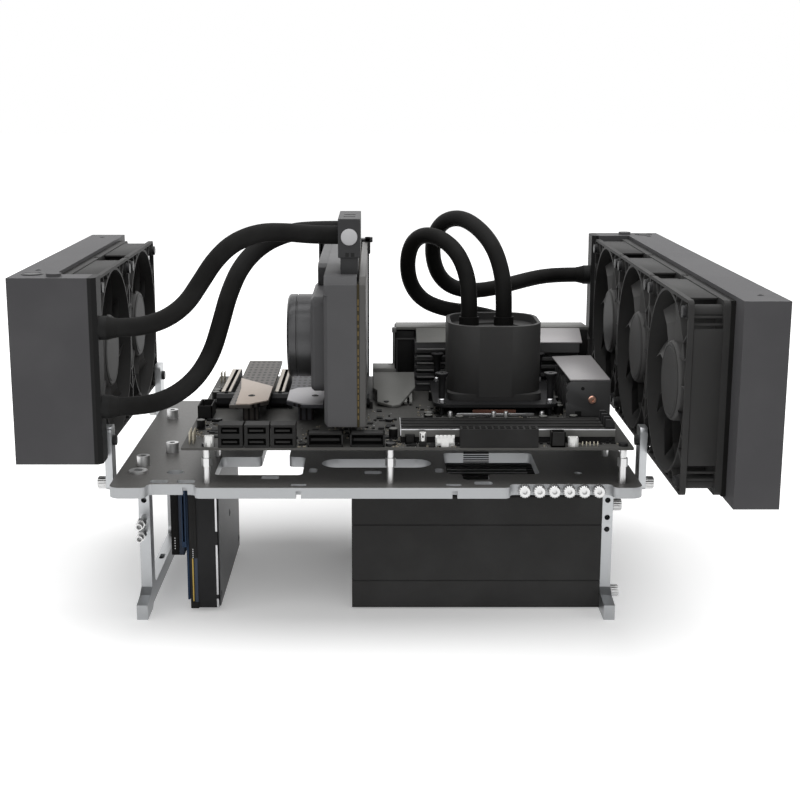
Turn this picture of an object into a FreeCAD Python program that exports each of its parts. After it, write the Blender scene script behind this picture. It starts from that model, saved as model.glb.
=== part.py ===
import FreeCAD, Part
import math
import os

import Sketcher

# Open air test bench with a board, a liquid cooled processor, a liquid cooled
# graphics card, a power supply and two drives.
# X runs to the right, Y to the back and Z up. The origin is the middle of the
# bench's outline on the surface that it stands on. All sizes are millimetres.

doc = FreeCAD.newDocument("OpenAirTestBench")
sheet = doc.addObject("Spreadsheet::Sheet", "Sizes")

SIZES = {
    # Slotted plate that carries everything
    "plate_wide": 360.0,
    "plate_deep": 272.0,
    "plate_thick": 7.5,
    "plate_corner": 8.0,
    "plate_middle": 38.85,
    "recess_deep": 9.0,
    "recess_corner": 5.0,
    "left_recess_start": -155.0,
    "left_recess_wide": 33.0,
    "right_recess_start": 90.5,
    "right_recess_wide": 69.5,
    "cutout_corner": 4.0,
    "left_cutout_start": -112.0,
    "left_cutout_wide": 61.0,
    "left_cutout_front": -64.6,
    "left_cutout_deep": 49.0,
    "left_channel_start": -83.0,
    "left_channel_wide": 20.0,
    "left_channel_deep": 51.0,
    "long_slot_start": -38.5,
    "long_slot_wide": 78.0,
    "long_slot_front": -44.7,
    "long_slot_deep": 23.5,
    "right_cutout_start": 49.5,
    "right_cutout_wide": 64.5,
    "right_cutout_front": -62.0,
    "right_cutout_deep": 58.0,
    "right_tongue_start": 60.0,
    "right_tongue_wide": 18.0,
    "right_tongue_deep": 15.5,
    "tie_channel_wide": 3.4,
    "tie_channel_deep": 5.2,
    "tie_slot_wide": 12.3,
    "tie_slot_deep": 7.5,
    # Two side legs
    "leg_tall": 105.0,
    "leg_thick": 8.0,
    "leg_apart": 344.4,
    "leg_front": -26.3,
    "leg_deep": 150.3,
    "foot_reach": 23.2,
    "foot_long": 24.0,
    "foot_tall": 11.0,
    "bar_lift": 3.0,
    "bar_top": 15.0,
    "knee_tall": 17.0,
    "upright_wide": 14.3,
    "head_bar_tall": 12.0,
    "window_corner": 6.0,
    "foot_bolt_slot": 12.0,
    "rack_hole_radius": 2.0,
    "rack_hole_deep": 12.0,
    "top_rack_hole": 83.0,
    "spare_height": 61.0,
    "spare_pitch": 9.0,
    # Hexagonal standoffs under the board
    "standoff_tall": 24.3,
    "standoff_radius": 2.4,
    "collar_radius": 3.6,
    "collar_tall": 5.8,
    "collar_height": 11.8,
    "stud_radius": 1.5,
    "stud_long": 6.0,
    "screw_clearance": 0.2,
    "seat_gap": 0.3,
    # Knurled thumbscrews
    "thumb_radius": 4.35,
    "thumb_long": 6.65,
    "thumb_socket_radius": 1.7,
    "thumb_socket_deep": 2.5,
    "thumb_shank_radius": 1.75,
    "stored_start": 100.5,
    "stored_pitch": 10.05,
    "stored_shank": 6.0,
    # Threaded nuts left on the plate
    "nut_radius": 4.6,
    "nut_hole_radius": 2.0,
    "nut_tall": 7.2,
    "ring_radius": 6.6,
    "ring_hole_radius": 4.2,
    "ring_x": -166.0,
    "ring_y": -56.5,
    "plain_hole_radius": 5.8,
    "plain_hole_x": -140.0,
    "plain_hole_y": -57.0,
    "small_hole_radius": 2.7,
    "small_hole_x": 141.0,
    "small_hole_y": -59.5,
    # Bars that carry the two radiators
    "bracket_thick": 5.0,
    "front_bracket_wide": 14.0,
    "rear_bracket_wide": 18.0,
    "bracket_tall": 44.0,
    "bracket_corner": 3.0,
    "front_bracket_y": -70.0,
    "left_rear_bracket_y": 155.0,
    "right_rear_bracket_y": 165.0,
    # Fans
    "fan_side": 120.0,
    "fan_thick": 25.0,
    "fan_corner": 4.0,
    "fan_bore_radius": 57.6,
    "fan_ring_radius": 59.4,
    "fan_hole_inset": 7.5,
    "fan_hole_radius": 2.15,
    "fan_boss_radius": 4.3,
    "fan_plate_thick": 4.0,
    "fan_rim_wide": 2.0,
    "fan_rim_tall": 3.4,
    "fan_web_thick": 1.2,
    "fan_web_step": 11.0,
    "fan_hub_radius": 26.0,
    "fan_hub_long": 17.0,
    "fan_hub_start": 3.2,
    "fan_hub_round": 3.0,
    "fan_strut_wide": 5.0,
    "fan_shaft_radius": 1.5,
    "fan_shaft_clearance": 0.05,
    "fan_tip_clearance": 1.0,
    "fan_blade_thick": 1.6,
    "fan_blade_root_chord": 19.0,
    "fan_blade_tip_chord": 25.0,
    "fan_blade_root_pitch": 48.0,
    "fan_blade_tip_pitch": 30.0,
    "fan_blades": 9.0,
    "fan_centre_height": 191.5,
    "fan_screw_shank_radius": 1.9,
    "fan_screw_head_radius": 3.6,
    "fan_screw_head_long": 2.4,
    "fan_screw_grip": 5.0,
    "gasket_thick": 2.8,
    "gasket_wide": 4.0,
    # Radiators
    "radiator_thick": 27.4,
    "radiator_tall": 125.0,
    "radiator_tank_thick": 58.0,
    "radiator_tank_chamfer": 3.0,
    "radiator_window_inset": 12.5,
    "radiator_window_deep": 3.0,
    "radiator_tube_tall": 2.2,
    "radiator_tube_deep": 2.4,
    "radiator_tubes": 12.0,
    "right_near_tank": 19.1,
    "right_far_tank": 24.1,
    "left_front_tank": 21.0,
    "left_rear_tank": 24.5,
    "port_radius": 8.0,
    "port_long": 5.0,
    "port_high": 219.7,
    "port_low": 166.4,
    "plug_radius": 5.0,
    "plug_tall": 2.0,
    # Board
    "board_long": 304.8,
    "board_deep": 244.0,
    "board_thick": 1.6,
    "board_left": -131.1,
    "board_front": -90.4,
    "board_corner": 1.5,
    "board_hole_radius": 1.95,
    "hole_row_front": 6.35,
    "hole_row_second": 78.7,
    "hole_row_back": 233.6,
    "hole_column_left": 16.5,
    "hole_column_middle": 141.0,
    "hole_column_right": 298.45,
    "board_screw_radius": 3.2,
    "board_screw_tall": 2.0,
    "board_screw_long": 5.0,
    # Slots for cards
    "slot_wide": 7.6,
    "slot_long": 89.0,
    "slot_tall": 11.2,
    "slot_front": 38.0,
    "slot_groove_wide": 2.0,
    "slot_groove_deep": 8.0,
    "slot_end_wall": 1.5,
    "slot_pitch": 20.32,
    "latch_wide": 13.4,
    "latch_long": 8.6,
    "latch_tall": 10.9,
    "latch_lift": 1.4,
    "latch_gap": 0.4,
    "latch_pin_radius": 1.0,
    "latch_pin_height": 2.6,
    # Memory slots
    "memory_long": 146.0,
    "memory_start": 17.0,
    "memory_front": -75.6,
    "memory_wide": 6.6,
    "memory_pitch": 9.4,
    "memory_tall": 9.4,
    "memory_groove_wide": 1.8,
    "memory_groove_deep": 6.0,
    "memory_latch_long": 6.0,
    "memory_latch_tall": 14.0,
    # Sockets along the board's front edge
    "edge_inset": 0.6,
    "power_socket_start": 56.7,
    "power_socket_long": 52.6,
    "power_socket_deep": 10.0,
    "power_socket_tall": 12.8,
    "pin_pitch": 4.2,
    "pin_hole": 3.1,
    "pin_deep": 8.0,
    "data_port_start": -106.0,
    "data_port_long": 16.6,
    "data_port_pitch": 17.8,
    "data_port_deep": 13.0,
    "data_port_tall": 15.6,
    "data_mouth_wide": 12.4,
    "data_mouth_tall": 4.6,
    "data_mouth_deep": 7.0,
    # Covers and heatsinks on the board
    "drive_cover_tall": 15.0,
    "drive_cover_lift": 12.4,
    "drive_cover_front": -24.9,
    "drive_cover_long": 169.5,
    "drive_cover_nose": 12.0,
    "left_drive_cover_x": -105.0,
    "left_drive_cover_wide": 27.3,
    "right_drive_cover_x": -64.5,
    "right_drive_cover_wide": 27.0,
    "chip_cover_x": -2.0,
    "chip_cover_y": 35.0,
    "chip_cover_wide": 32.5,
    "chip_cover_deep": 48.0,
    "chip_cover_tall": 26.0,
    "chip_cover_chamfer": 3.0,
    "rear_cover_x": 16.0,
    "rear_cover_wide": 157.0,
    "rear_cover_front": 113.0,
    "rear_cover_tall": 45.4,
    "rear_cover_drop": 6.0,
    "rear_cover_wall": 1.8,
    "rear_cover_back_gap": 0.6,
    "rear_sink_x": 31.0,
    "rear_sink_wide": 131.0,
    "rear_sink_front": 95.0,
    "rear_sink_deep": 17.6,
    "rear_sink_tall": 39.0,
    "sink_fin_pitch": 6.4,
    "sink_fin_gap": 3.6,
    "sink_fin_deep": 8.0,
    "sink_fin_start": 8.0,
    "side_sink_x": 147.0,
    "side_sink_wide": 24.0,
    "side_sink_front": -5.0,
    "side_sink_deep": 99.0,
    "side_sink_tall": 29.0,
    "side_sink_slope": 9.0,
    "port_block_start": 24.0,
    "port_block_pitch": 36.0,
    "port_block_wide": 24.0,
    "port_block_wall": 1.4,
    "port_block_tall": 30.0,
    "port_block_deep": 21.0,
    # Processor and its cooler
    "cpu_x": 88.6,
    "cpu_y": 48.0,
    "socket_side": 62.0,
    "socket_tall": 4.0,
    "cpu_side": 44.0,
    "cpu_lift": 0.6,
    "cpu_tall": 5.4,
    "cpu_clearance": 0.5,
    "cold_plate_side": 54.0,
    "cold_plate_tall": 5.6,
    "cooler_bracket_side": 92.0,
    "cooler_bracket_thick": 2.5,
    "cooler_bracket_lift": 6.9,
    "cooler_bracket_corner": 9.0,
    "cooler_screw_offset": 40.0,
    "cooler_screw_radius": 2.0,
    "cooler_screw_head_radius": 4.2,
    "cooler_screw_head_tall": 11.0,
    "cooler_screw_top": 32.5,
    "cooler_spring_radius": 3.4,
    "pump_side": 70.0,
    "pump_corner": 23.0,
    "pump_tall": 54.0,
    "pump_rim": 3.0,
    "pump_recess_deep": 6.0,
    "pump_disc_radius": 21.0,
    "pump_disc_deep": 1.6,
    "fitting_radius": 7.6,
    "fitting_tall": 6.5,
    "fitting_x": -4.1,
    "fitting_y": 9.0,
    "fitting_spread": 26.4,
    # Graphics card
    "card_slot_x": -11.75,
    "card_front": -82.0,
    "card_long": 235.0,
    "card_bottom": 150.7,
    "card_tall": 96.7,
    "card_board_thick": 1.6,
    "card_tab_tall": 7.2,
    "card_tab_end_gap": 2.0,
    "shroud_thick": 22.2,
    "shroud_chamfer": 2.5,
    "shroud_wall": 2.0,
    "shroud_back_gap": 4.0,
    "card_backplate_thick": 4.2,
    "card_block_thick": 9.6,
    "card_block_front": -62.0,
    "card_block_long": 84.0,
    "card_block_bottom": 170.5,
    "card_block_tall": 65.5,
    "card_block_corner": 6.0,
    "puck_radius": 29.5,
    "puck_long": 17.5,
    "puck_groove_deep": 1.2,
    "puck_groove_wide": 1.6,
    "puck_height": 203.2,
    "bracket_plate_x": -47.0,
    "bracket_plate_wide": 41.5,
    "bracket_plate_bottom": 133.0,
    "bracket_plate_tall": 120.6,
    "bracket_plate_thick": 1.2,
    "bracket_plate_gap": 0.6,
    "bracket_flange": 11.5,
    "terminal_wide": 14.9,
    "terminal_front": -67.0,
    "terminal_long": 66.0,
    "terminal_tall": 26.0,
    "terminal_neck_tall": 16.1,
    "terminal_neck_inset": 1.6,
    "terminal_x": -25.3,
    "terminal_port_height": 277.5,
    "terminal_port_radius": 6.8,
    "terminal_front_port": -52.0,
    "terminal_rear_port": -16.0,
    "terminal_plug_radius": 5.4,
    "terminal_plug_long": 1.2,
    # Hoses
    "hose_radius": 6.3,
    # Power supply
    "supply_long": 181.7,
    "supply_deep": 150.0,
    "supply_tall": 86.0,
    "supply_lift": 1.0,
    "supply_front": -28.0,
    "supply_corner": 2.0,
    "supply_lower_seam": 20.8,
    "supply_upper_seam": 63.4,
    "supply_seam_wide": 1.0,
    "supply_seam_deep": 0.8,
    "supply_well_radius": 60.0,
    "supply_well_deep": 27.0,
    "supply_well_x": 74.0,
    "supply_slat_wide": 2.0,
    "supply_slat_gap": 5.0,
    "supply_slat_thick": 1.6,
    "supply_screw_inset": 6.0,
    "supply_screw_low": 11.7,
    "supply_screw_rise": 65.9,
    "supply_screw_long": 13.0,
    "supply_rotor_radius": 57.0,
    "supply_rotor_gap": 2.4,
    "supply_hub_radius": 21.0,
    "supply_hub_long": 18.0,
    "supply_blades": 7.0,
    "inlet_y": 22.0,
    "inlet_wide": 27.5,
    "inlet_tall": 24.0,
    "inlet_height": 34.0,
    "inlet_deep": 14.0,
    "inlet_wall": 2.0,
    "inlet_proud": 1.4,
    "switch_y": 62.0,
    "switch_wide": 15.0,
    "switch_tall": 21.0,
    "switch_deep": 9.0,
    "switch_clearance": 0.4,
    "switch_angle": 8.0,
    # Drives that hang under the plate
    "disk_x": -135.0,
    "disk_wide": 20.6,
    "disk_front": -35.0,
    "disk_long": 147.0,
    "disk_tall": 101.6,
    "disk_corner": 2.0,
    "disk_cover_inset": 3.0,
    "disk_cover_proud": 0.8,
    "disk_board_thick": 1.6,
    "disk_board_gap": 0.6,
    "disk_board_tall": 60.0,
    "disk_connector_long": 10.0,
    "ssd_x": -151.7,
    "ssd_wide": 9.5,
    "ssd_front": -9.0,
    "ssd_long": 100.0,
    "ssd_tall": 69.9,
    "ssd_corner": 1.5,
}

for row, (alias, number) in enumerate(SIZES.items(), start=1):
    sheet.set(f"A{row}", alias)
    sheet.set(f"B{row}", str(number))
    sheet.setAlias(f"B{row}", alias)
doc.recompute()


class Size:
    """A length with the sheet's formula that it comes from."""

    def __init__(self, number, formula):
        self.number = float(number)
        self.formula = formula

    def __add__(self, other):
        other = as_size(other)
        return Size(self.number + other.number, f"({self.formula} + {other.formula})")

    def __sub__(self, other):
        other = as_size(other)
        return Size(self.number - other.number, f"({self.formula} - {other.formula})")

    def __mul__(self, other):
        other = as_size(other)
        return Size(self.number * other.number, f"({self.formula} * {other.formula})")

    def __truediv__(self, other):
        other = as_size(other)
        return Size(self.number / other.number, f"({self.formula} / {other.formula})")

    def __neg__(self):
        return Size(-self.number, f"(0 - {self.formula})")

    def __radd__(self, other):
        return as_size(other) + self

    def __rsub__(self, other):
        return as_size(other) - self

    def __rmul__(self, other):
        return as_size(other) * self

    def __float__(self):
        return self.number


def as_size(value):
    """A plain number as a length whose formula is the number."""
    if isinstance(value, Size):
        return value
    return Size(value, f"({float(value)!r})")


class Sheet:
    """The sheet's cells, each read by its alias."""

    def __getattr__(self, alias):
        return Size(sheet.get(alias), "Sizes." + alias)


s = Sheet()
NODES = {}
AXIS_TURNS = {
    "x": FreeCAD.Rotation(FreeCAD.Vector(0, 0, 1), FreeCAD.Vector(1, 0, 0)),
    "-x": FreeCAD.Rotation(FreeCAD.Vector(0, 0, 1), FreeCAD.Vector(-1, 0, 0)),
    "y": FreeCAD.Rotation(FreeCAD.Vector(0, 0, 1), FreeCAD.Vector(0, 1, 0)),
    "-y": FreeCAD.Rotation(FreeCAD.Vector(0, 0, 1), FreeCAD.Vector(0, -1, 0)),
    "z": FreeCAD.Rotation(),
}


def bind(item, prop, value):
    """Tie one property of an object to the sheet."""
    if isinstance(value, Size):
        item.setExpression(prop, value.formula)
    else:
        setattr(item, prop, value)


def place(item, x, y, z, axis="z"):
    """Put an object's own origin at a point, with its Z along an axis."""
    item.Placement = FreeCAD.Placement(FreeCAD.Vector(0, 0, 0), AXIS_TURNS[axis])
    for letter, value in (("x", x), ("y", y), ("z", z)):
        item.setExpression(f"Placement.Base.{letter}", as_size(value).formula)
    return item


def box(x, y, z, wide, deep, tall):
    """A block from its low corner."""
    item = doc.addObject("Part::Box", "Block")
    bind(item, "Length", as_size(wide))
    bind(item, "Width", as_size(deep))
    bind(item, "Height", as_size(tall))
    return place(item, x, y, z)


def rod(x, y, z, radius, long, axis="z"):
    """A cylinder from the middle of its starting face."""
    item = doc.addObject("Part::Cylinder", "Rod")
    bind(item, "Radius", as_size(radius))
    bind(item, "Height", as_size(long))
    return place(item, x, y, z, axis)


def hexagon(x, y, z, radius, long, axis="z"):
    """A six sided bar from the middle of its starting face."""
    item = doc.addObject("Part::Prism", "Hexagon")
    item.Polygon = 6
    bind(item, "Circumradius", as_size(radius))
    bind(item, "Height", as_size(long))
    return place(item, x, y, z, axis)


def fuse(*pieces):
    item = doc.addObject("Part::MultiFuse", "Joined")
    item.Shapes = list(pieces)
    return item


def cut(base, *tools):
    item = doc.addObject("Part::Cut", "CutAway")
    item.Base = base
    item.Tool = tools[0] if len(tools) == 1 else fuse(*tools)
    return item


def separate(*pieces):
    """Solids that share one node."""
    item = doc.addObject("Part::Compound", "Group")
    item.Links = list(pieces)
    return item


def rounded(item, radius, direction, keep=lambda middle: True):
    """Round the straight edges that run along a direction."""
    doc.recompute()
    edges = straight_edges(item.Shape, direction, keep)
    result = doc.addObject("Part::Fillet", "Rounded")
    result.Base = item
    result.Edges = [(number, float(radius), float(radius)) for number in edges]
    return result


def bevelled(item, depth, direction, keep=lambda middle: True):
    """Chamfer the straight edges that run along a direction."""
    doc.recompute()
    edges = straight_edges(item.Shape, direction, keep)
    result = doc.addObject("Part::Chamfer", "Bevelled")
    result.Base = item
    result.Edges = [(number, float(depth), float(depth)) for number in edges]
    return result


def straight_edges(shape, direction, keep):
    """Numbers of the straight edges along a direction whose middle is kept."""
    wanted = FreeCAD.Vector(*direction)
    numbers = []
    for number, edge in enumerate(shape.Edges, start=1):
        if edge.Curve.TypeId != "Part::GeomLine":
            continue
        start, end = edge.Vertexes[0].Point, edge.Vertexes[-1].Point
        run = end - start
        if run.Length and abs(abs(run.normalize().dot(wanted)) - 1) < 1e-6 and keep((start + end) * 0.5):
            numbers.append(number)
    return numbers


def node(name, item):
    """Name a finished sub-part after its file."""
    item.Label = name
    NODES[name] = item
    return item


def solid_of(name, shape):
    """A sub-part whose shape is worked out directly."""
    item = doc.addObject("Part::Feature", name)
    item.Shape = shape
    item.Placement = FreeCAD.Placement()
    return node(name, item)


# Sketches


def new_body(name):
    body = doc.addObject("PartDesign::Body", name)
    return node(name, body)


def sketch_on(body, role, offset=0):
    """A sketch on one of the body's own origin planes, moved along its normal."""
    plane = [feature for feature in body.Origin.OriginFeatures if feature.Role == role][0]
    sketch = body.newObject("Sketcher::SketchObject", "Outline")
    sketch.AttachmentSupport = (plane, "")
    sketch.MapMode = "FlatFace"
    sketch.setExpression("AttachmentOffset.Base.z", as_size(offset).formula)
    return sketch


def hold(sketch, kind, geometry, point, value):
    """Tie the distance of a sketch's point from the origin to the sheet."""
    value = as_size(value)
    number = sketch.addConstraint(Sketcher.Constraint(kind, -1, 1, geometry, point, value.number))
    sketch.setExpression(f"Constraints[{number}]", value.formula)


def outline(sketch, points):
    """A closed outline of straight lines, each corner tied to the sheet."""
    first = sketch.GeometryCount
    count = len(points)
    corners = [FreeCAD.Vector(float(x), float(y), 0) for x, y in points]
    for index in range(count):
        sketch.addGeometry(Part.LineSegment(corners[index], corners[(index + 1) % count]), False)
    for index in range(count):
        sketch.addConstraint(
            Sketcher.Constraint("Coincident", first + index, 2, first + (index + 1) % count, 1)
        )
    for index, (x, y) in enumerate(points):
        hold(sketch, "DistanceX", first + index, 1, x)
        hold(sketch, "DistanceY", first + index, 1, y)


def rectangle(sketch, x, y, wide, deep):
    outline(sketch, [(x, y), (x + wide, y), (x + wide, y + deep), (x, y + deep)])


def circle(sketch, x, y, radius):
    radius = as_size(radius)
    centre = FreeCAD.Vector(float(x), float(y), 0)
    index = sketch.addGeometry(Part.Circle(centre, FreeCAD.Vector(0, 0, 1), radius.number), False)
    hold(sketch, "DistanceX", index, 3, x)
    hold(sketch, "DistanceY", index, 3, y)
    number = sketch.addConstraint(Sketcher.Constraint("Radius", index, radius.number))
    sketch.setExpression(f"Constraints[{number}]", radius.formula)


def soft_rectangle(sketch, x, y, wide, deep, radius):
    """A rectangle with round corners: four lines and four arcs, all tangent."""
    first = sketch.GeometryCount
    left, low = float(x), float(y)
    right, high, r = left + float(wide), low + float(deep), float(radius)
    lines = [
        ((left + r, low), (right - r, low)),
        ((right, low + r), (right, high - r)),
        ((right - r, high), (left + r, high)),
        ((left, high - r), (left, low + r)),
    ]
    centres = [(right - r, low + r), (right - r, high - r), (left + r, high - r), (left + r, low + r)]
    normal = FreeCAD.Vector(0, 0, 1)
    for index in range(4):
        start, end = lines[index]
        sketch.addGeometry(Part.LineSegment(FreeCAD.Vector(*start, 0), FreeCAD.Vector(*end, 0)), False)
        ring = Part.Circle(FreeCAD.Vector(*centres[index], 0), normal, r)
        turn = math.radians(90 * index - 90)
        sketch.addGeometry(Part.ArcOfCircle(ring, turn, turn + math.radians(90)), False)
    for index in range(4):
        line, arc = first + 2 * index, first + 2 * index + 1
        following = first + (2 * index + 2) % 8
        sketch.addConstraint(Sketcher.Constraint("Tangent", line, 2, arc, 1))
        sketch.addConstraint(Sketcher.Constraint("Tangent", arc, 2, following, 1))
        kind = "Horizontal" if index % 2 == 0 else "Vertical"
        sketch.addConstraint(Sketcher.Constraint(kind, line))
        value = as_size(radius)
        number = sketch.addConstraint(Sketcher.Constraint("Radius", arc, value.number))
        sketch.setExpression(f"Constraints[{number}]", value.formula)
    hold(sketch, "DistanceY", first, 1, y)
    hold(sketch, "DistanceX", first + 2, 1, as_size(x) + wide)
    hold(sketch, "DistanceY", first + 4, 1, as_size(y) + deep)
    hold(sketch, "DistanceX", first + 6, 1, x)


def pad(body, sketch, length):
    feature = body.newObject("PartDesign::Pad", "Raise")
    feature.Profile = sketch
    feature.setExpression("Length", as_size(length).formula)
    body.Tip = feature
    return feature


def pocket(body, sketch, length):
    """Cut from the sketch's plane along its normal."""
    feature = body.newObject("PartDesign::Pocket", "Sink")
    feature.Profile = sketch
    feature.Reversed = True
    feature.setExpression("Length", as_size(length).formula)
    body.Tip = feature
    return feature


def body_fillet(body, radius, direction, keep=lambda middle: True):
    """Round the body's straight edges that run along a direction."""
    doc.recompute()
    tip = body.Tip
    edges = straight_edges(tip.Shape, direction, keep)
    feature = body.newObject("PartDesign::Fillet", "Round")
    feature.Base = (tip, [f"Edge{number}" for number in edges])
    feature.setExpression("Radius", as_size(radius).formula)
    body.Tip = feature
    return feature


# Places that several pieces share

plate_top = s.leg_tall + s.plate_thick
plate_front = s.plate_middle - s.plate_deep / 2
plate_side = s.plate_wide / 2
leg_outside = s.leg_apart / 2
leg_inside = leg_outside - s.leg_thick
leg_middle = leg_outside - s.leg_thick / 2
board_bottom = plate_top + s.standoff_tall
board_top = board_bottom + s.board_thick
board_back = s.board_front + s.board_deep
hole_rows = [s.board_front + row for row in (s.hole_row_front, s.hole_row_second, s.hole_row_back)]
hole_columns = [
    s.board_left + column for column in (s.hole_column_left, s.hole_column_middle, s.hole_column_right)
]
board_holes = [(x, y) for x in hole_columns for y in hole_rows]
supply_bottom = s.supply_lift
supply_left = leg_inside - s.supply_long
supply_screws = [
    (s.supply_front + inset, supply_bottom + s.supply_screw_low + rise)
    for inset in (s.supply_screw_inset, s.supply_deep - s.supply_screw_inset)
    for rise in (0 * s.supply_screw_rise, s.supply_screw_rise)
]
stored_height = s.leg_tall + s.plate_thick / 2
recess_wall = plate_front + s.recess_deep
stud_hole_radius = s.stud_radius + s.screw_clearance
thumb_hole_radius = s.thumb_shank_radius + s.screw_clearance
spare_heights = [s.spare_height + step * s.spare_pitch for step in (0, 1)]

# Fans and radiators stand outside the plate's two sides.
fan_face = plate_side + s.bracket_thick
fan_bottom = s.fan_centre_height - s.fan_side / 2
fan_top_hole = s.fan_centre_height + s.fan_side / 2 - s.fan_hole_inset
fan_low_hole = fan_bottom + s.fan_hole_inset
gasket_face = fan_face + s.fan_thick
radiator_face = gasket_face + s.gasket_thick
radiator_outside = radiator_face + s.radiator_thick
radiator_bottom = s.fan_centre_height - s.radiator_tall / 2
tank_inside = radiator_outside - s.radiator_tank_thick
right_fans = 3
left_fans = 2
right_radiator_long = s.right_near_tank + right_fans * s.fan_side + s.right_far_tank
right_radiator_front = -(right_radiator_long / 2)
right_fan_front = right_radiator_front + s.right_near_tank
left_fan_front = s.front_bracket_y - s.fan_hole_inset
left_radiator_front = left_fan_front - s.left_front_tank
left_radiator_long = s.left_front_tank + left_fans * s.fan_side + s.left_rear_tank
bracket_places = [
    (-1, s.front_bracket_y),
    (-1, s.left_rear_bracket_y),
    (1, s.front_bracket_y),
    (1, s.right_rear_bracket_y),
]


def sided(side, low, thick):
    """The low X of a slab that starts a distance from the middle, on one side."""
    return low if side > 0 else -(low + thick)


# Slotted plate


def make_plate():
    body = new_body("bench_plate")
    face = sketch_on(body, "XY_Plane", s.leg_tall)
    soft_rectangle(face, -plate_side, plate_front, s.plate_wide, s.plate_deep, s.plate_corner)
    corner = s.cutout_corner
    soft_rectangle(
        face,
        s.long_slot_start,
        s.long_slot_front,
        s.long_slot_wide,
        s.long_slot_deep,
        s.long_slot_deep * 0.49,
    )
    tie_slots = [(-154.0, -85.0), (-135.6, -85.0), (-79.0, -74.9), (-8.2, -62.0), (66.9, -88.9)]
    for x, y in tie_slots:
        soft_rectangle(face, as_size(x), as_size(y), s.tie_slot_wide, s.tie_slot_deep, s.tie_slot_deep * 0.3)
    for x in (-57.4, 47.4):
        soft_rectangle(face, as_size(x), as_size(-92.2), s.tie_slot_wide * 0.85, s.tie_slot_deep * 0.6, 1.5)
    for x in (-47.0, 41.5):
        soft_rectangle(face, as_size(x), as_size(-58.0), s.tie_slot_deep * 0.8, s.tie_slot_wide * 0.85, 2.0)
    circle(face, s.ring_x, s.ring_y, s.ring_hole_radius)
    circle(face, s.plain_hole_x, s.plain_hole_y, s.plain_hole_radius)
    circle(face, s.small_hole_x, s.small_hole_y, s.small_hole_radius)
    pad(body, face, s.plate_thick)

    recesses = sketch_on(body, "XY_Plane", s.leg_tall)
    for start, wide in (
        (s.left_recess_start, s.left_recess_wide),
        (s.right_recess_start, s.right_recess_wide),
    ):
        rectangle(recesses, start, plate_front - s.recess_deep, wide, s.recess_deep * 2)
    pocket(body, recesses, s.plate_thick)
    recess_front = float(recess_wall) + 0.1
    body_fillet(
        body,
        s.recess_corner * 0.8,
        (0, 0, 1),
        lambda middle: middle.y < recess_front and abs(middle.x) < float(plate_side) - float(s.plate_corner) - 1,
    )

    openings = sketch_on(body, "XY_Plane", s.leg_tall)
    left_back = s.left_cutout_front + s.left_cutout_deep
    left_end = s.left_cutout_start + s.left_cutout_wide
    channel_end = s.left_channel_start + s.left_channel_wide
    channel_back = left_back + s.left_channel_deep
    outline(
        openings,
        [
            (s.left_cutout_start, s.left_cutout_front),
            (left_end, s.left_cutout_front),
            (left_end, left_back),
            (channel_end, left_back),
            (channel_end, channel_back),
            (s.left_channel_start, channel_back),
            (s.left_channel_start, left_back),
            (s.left_cutout_start, left_back),
        ],
    )
    right_back = s.right_cutout_front + s.right_cutout_deep
    right_end = s.right_cutout_start + s.right_cutout_wide
    tongue_end = s.right_tongue_start + s.right_tongue_wide
    tongue_front = s.right_cutout_front - s.right_tongue_deep
    outline(
        openings,
        [
            (s.right_cutout_start, s.right_cutout_front),
            (s.right_tongue_start, s.right_cutout_front),
            (s.right_tongue_start, tongue_front),
            (tongue_end, tongue_front),
            (tongue_end, s.right_cutout_front),
            (right_end, s.right_cutout_front),
            (right_end, right_back),
            (s.right_cutout_start, right_back),
        ],
    )
    pocket(body, openings, s.plate_thick)
    low_x, high_x = float(s.left_cutout_start) - 1, float(right_end) + 1
    low_y, high_y = float(tongue_front) - 1, float(channel_back) + 1
    slot_low, slot_high = float(s.long_slot_start) - 1, float(s.long_slot_start + s.long_slot_wide) + 1
    is_cutout = (
        lambda middle: low_x < middle.x < high_x
        and low_y < middle.y < high_y
        and not slot_low < middle.x < slot_high
        and is_corner(middle, openings)
    )
    body_fillet(body, corner, (0, 0, 1), is_cutout)

    channels = sketch_on(body, "XY_Plane", s.leg_tall)
    for x, y in ((-53.7, -98.2), (51.5, -98.2), (-131.1, -89.2)):
        rectangle(channels, as_size(x), as_size(y), s.tie_channel_wide, s.tie_channel_wide * 2.2)
    pocket(body, channels, s.tie_channel_deep)

    studs = sketch_on(body, "XY_Plane", plate_top - s.stud_long)
    for x, y in board_holes:
        circle(studs, x, y, stud_hole_radius)
    pocket(body, studs, s.stud_long)

    screws = sketch_on(body, "XZ_Plane", -recess_wall - s.rack_hole_deep)
    for index in range(6):
        circle(screws, s.stored_start + index * s.stored_pitch, stored_height, thumb_hole_radius)
    pocket(body, screws, s.rack_hole_deep + s.recess_deep * 0.5)

    for side in (-1, 1):
        low = plate_side - s.rack_hole_deep if side > 0 else -plate_side
        holes = sketch_on(body, "YZ_Plane", low)
        for bracket_side, y in bracket_places:
            if bracket_side == side:
                circle(holes, y, stored_height, thumb_hole_radius)
        pocket(body, holes, s.rack_hole_deep)


def is_corner(middle, sketch):
    """Whether an upright edge stands on a corner of a sketch's outline."""
    return any(
        abs(vertex.Point.x - middle.x) < 1e-3 and abs(vertex.Point.y - middle.y) < 1e-3
        for vertex in sketch.Shape.Vertexes
    )


make_plate()


# Side legs


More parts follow.
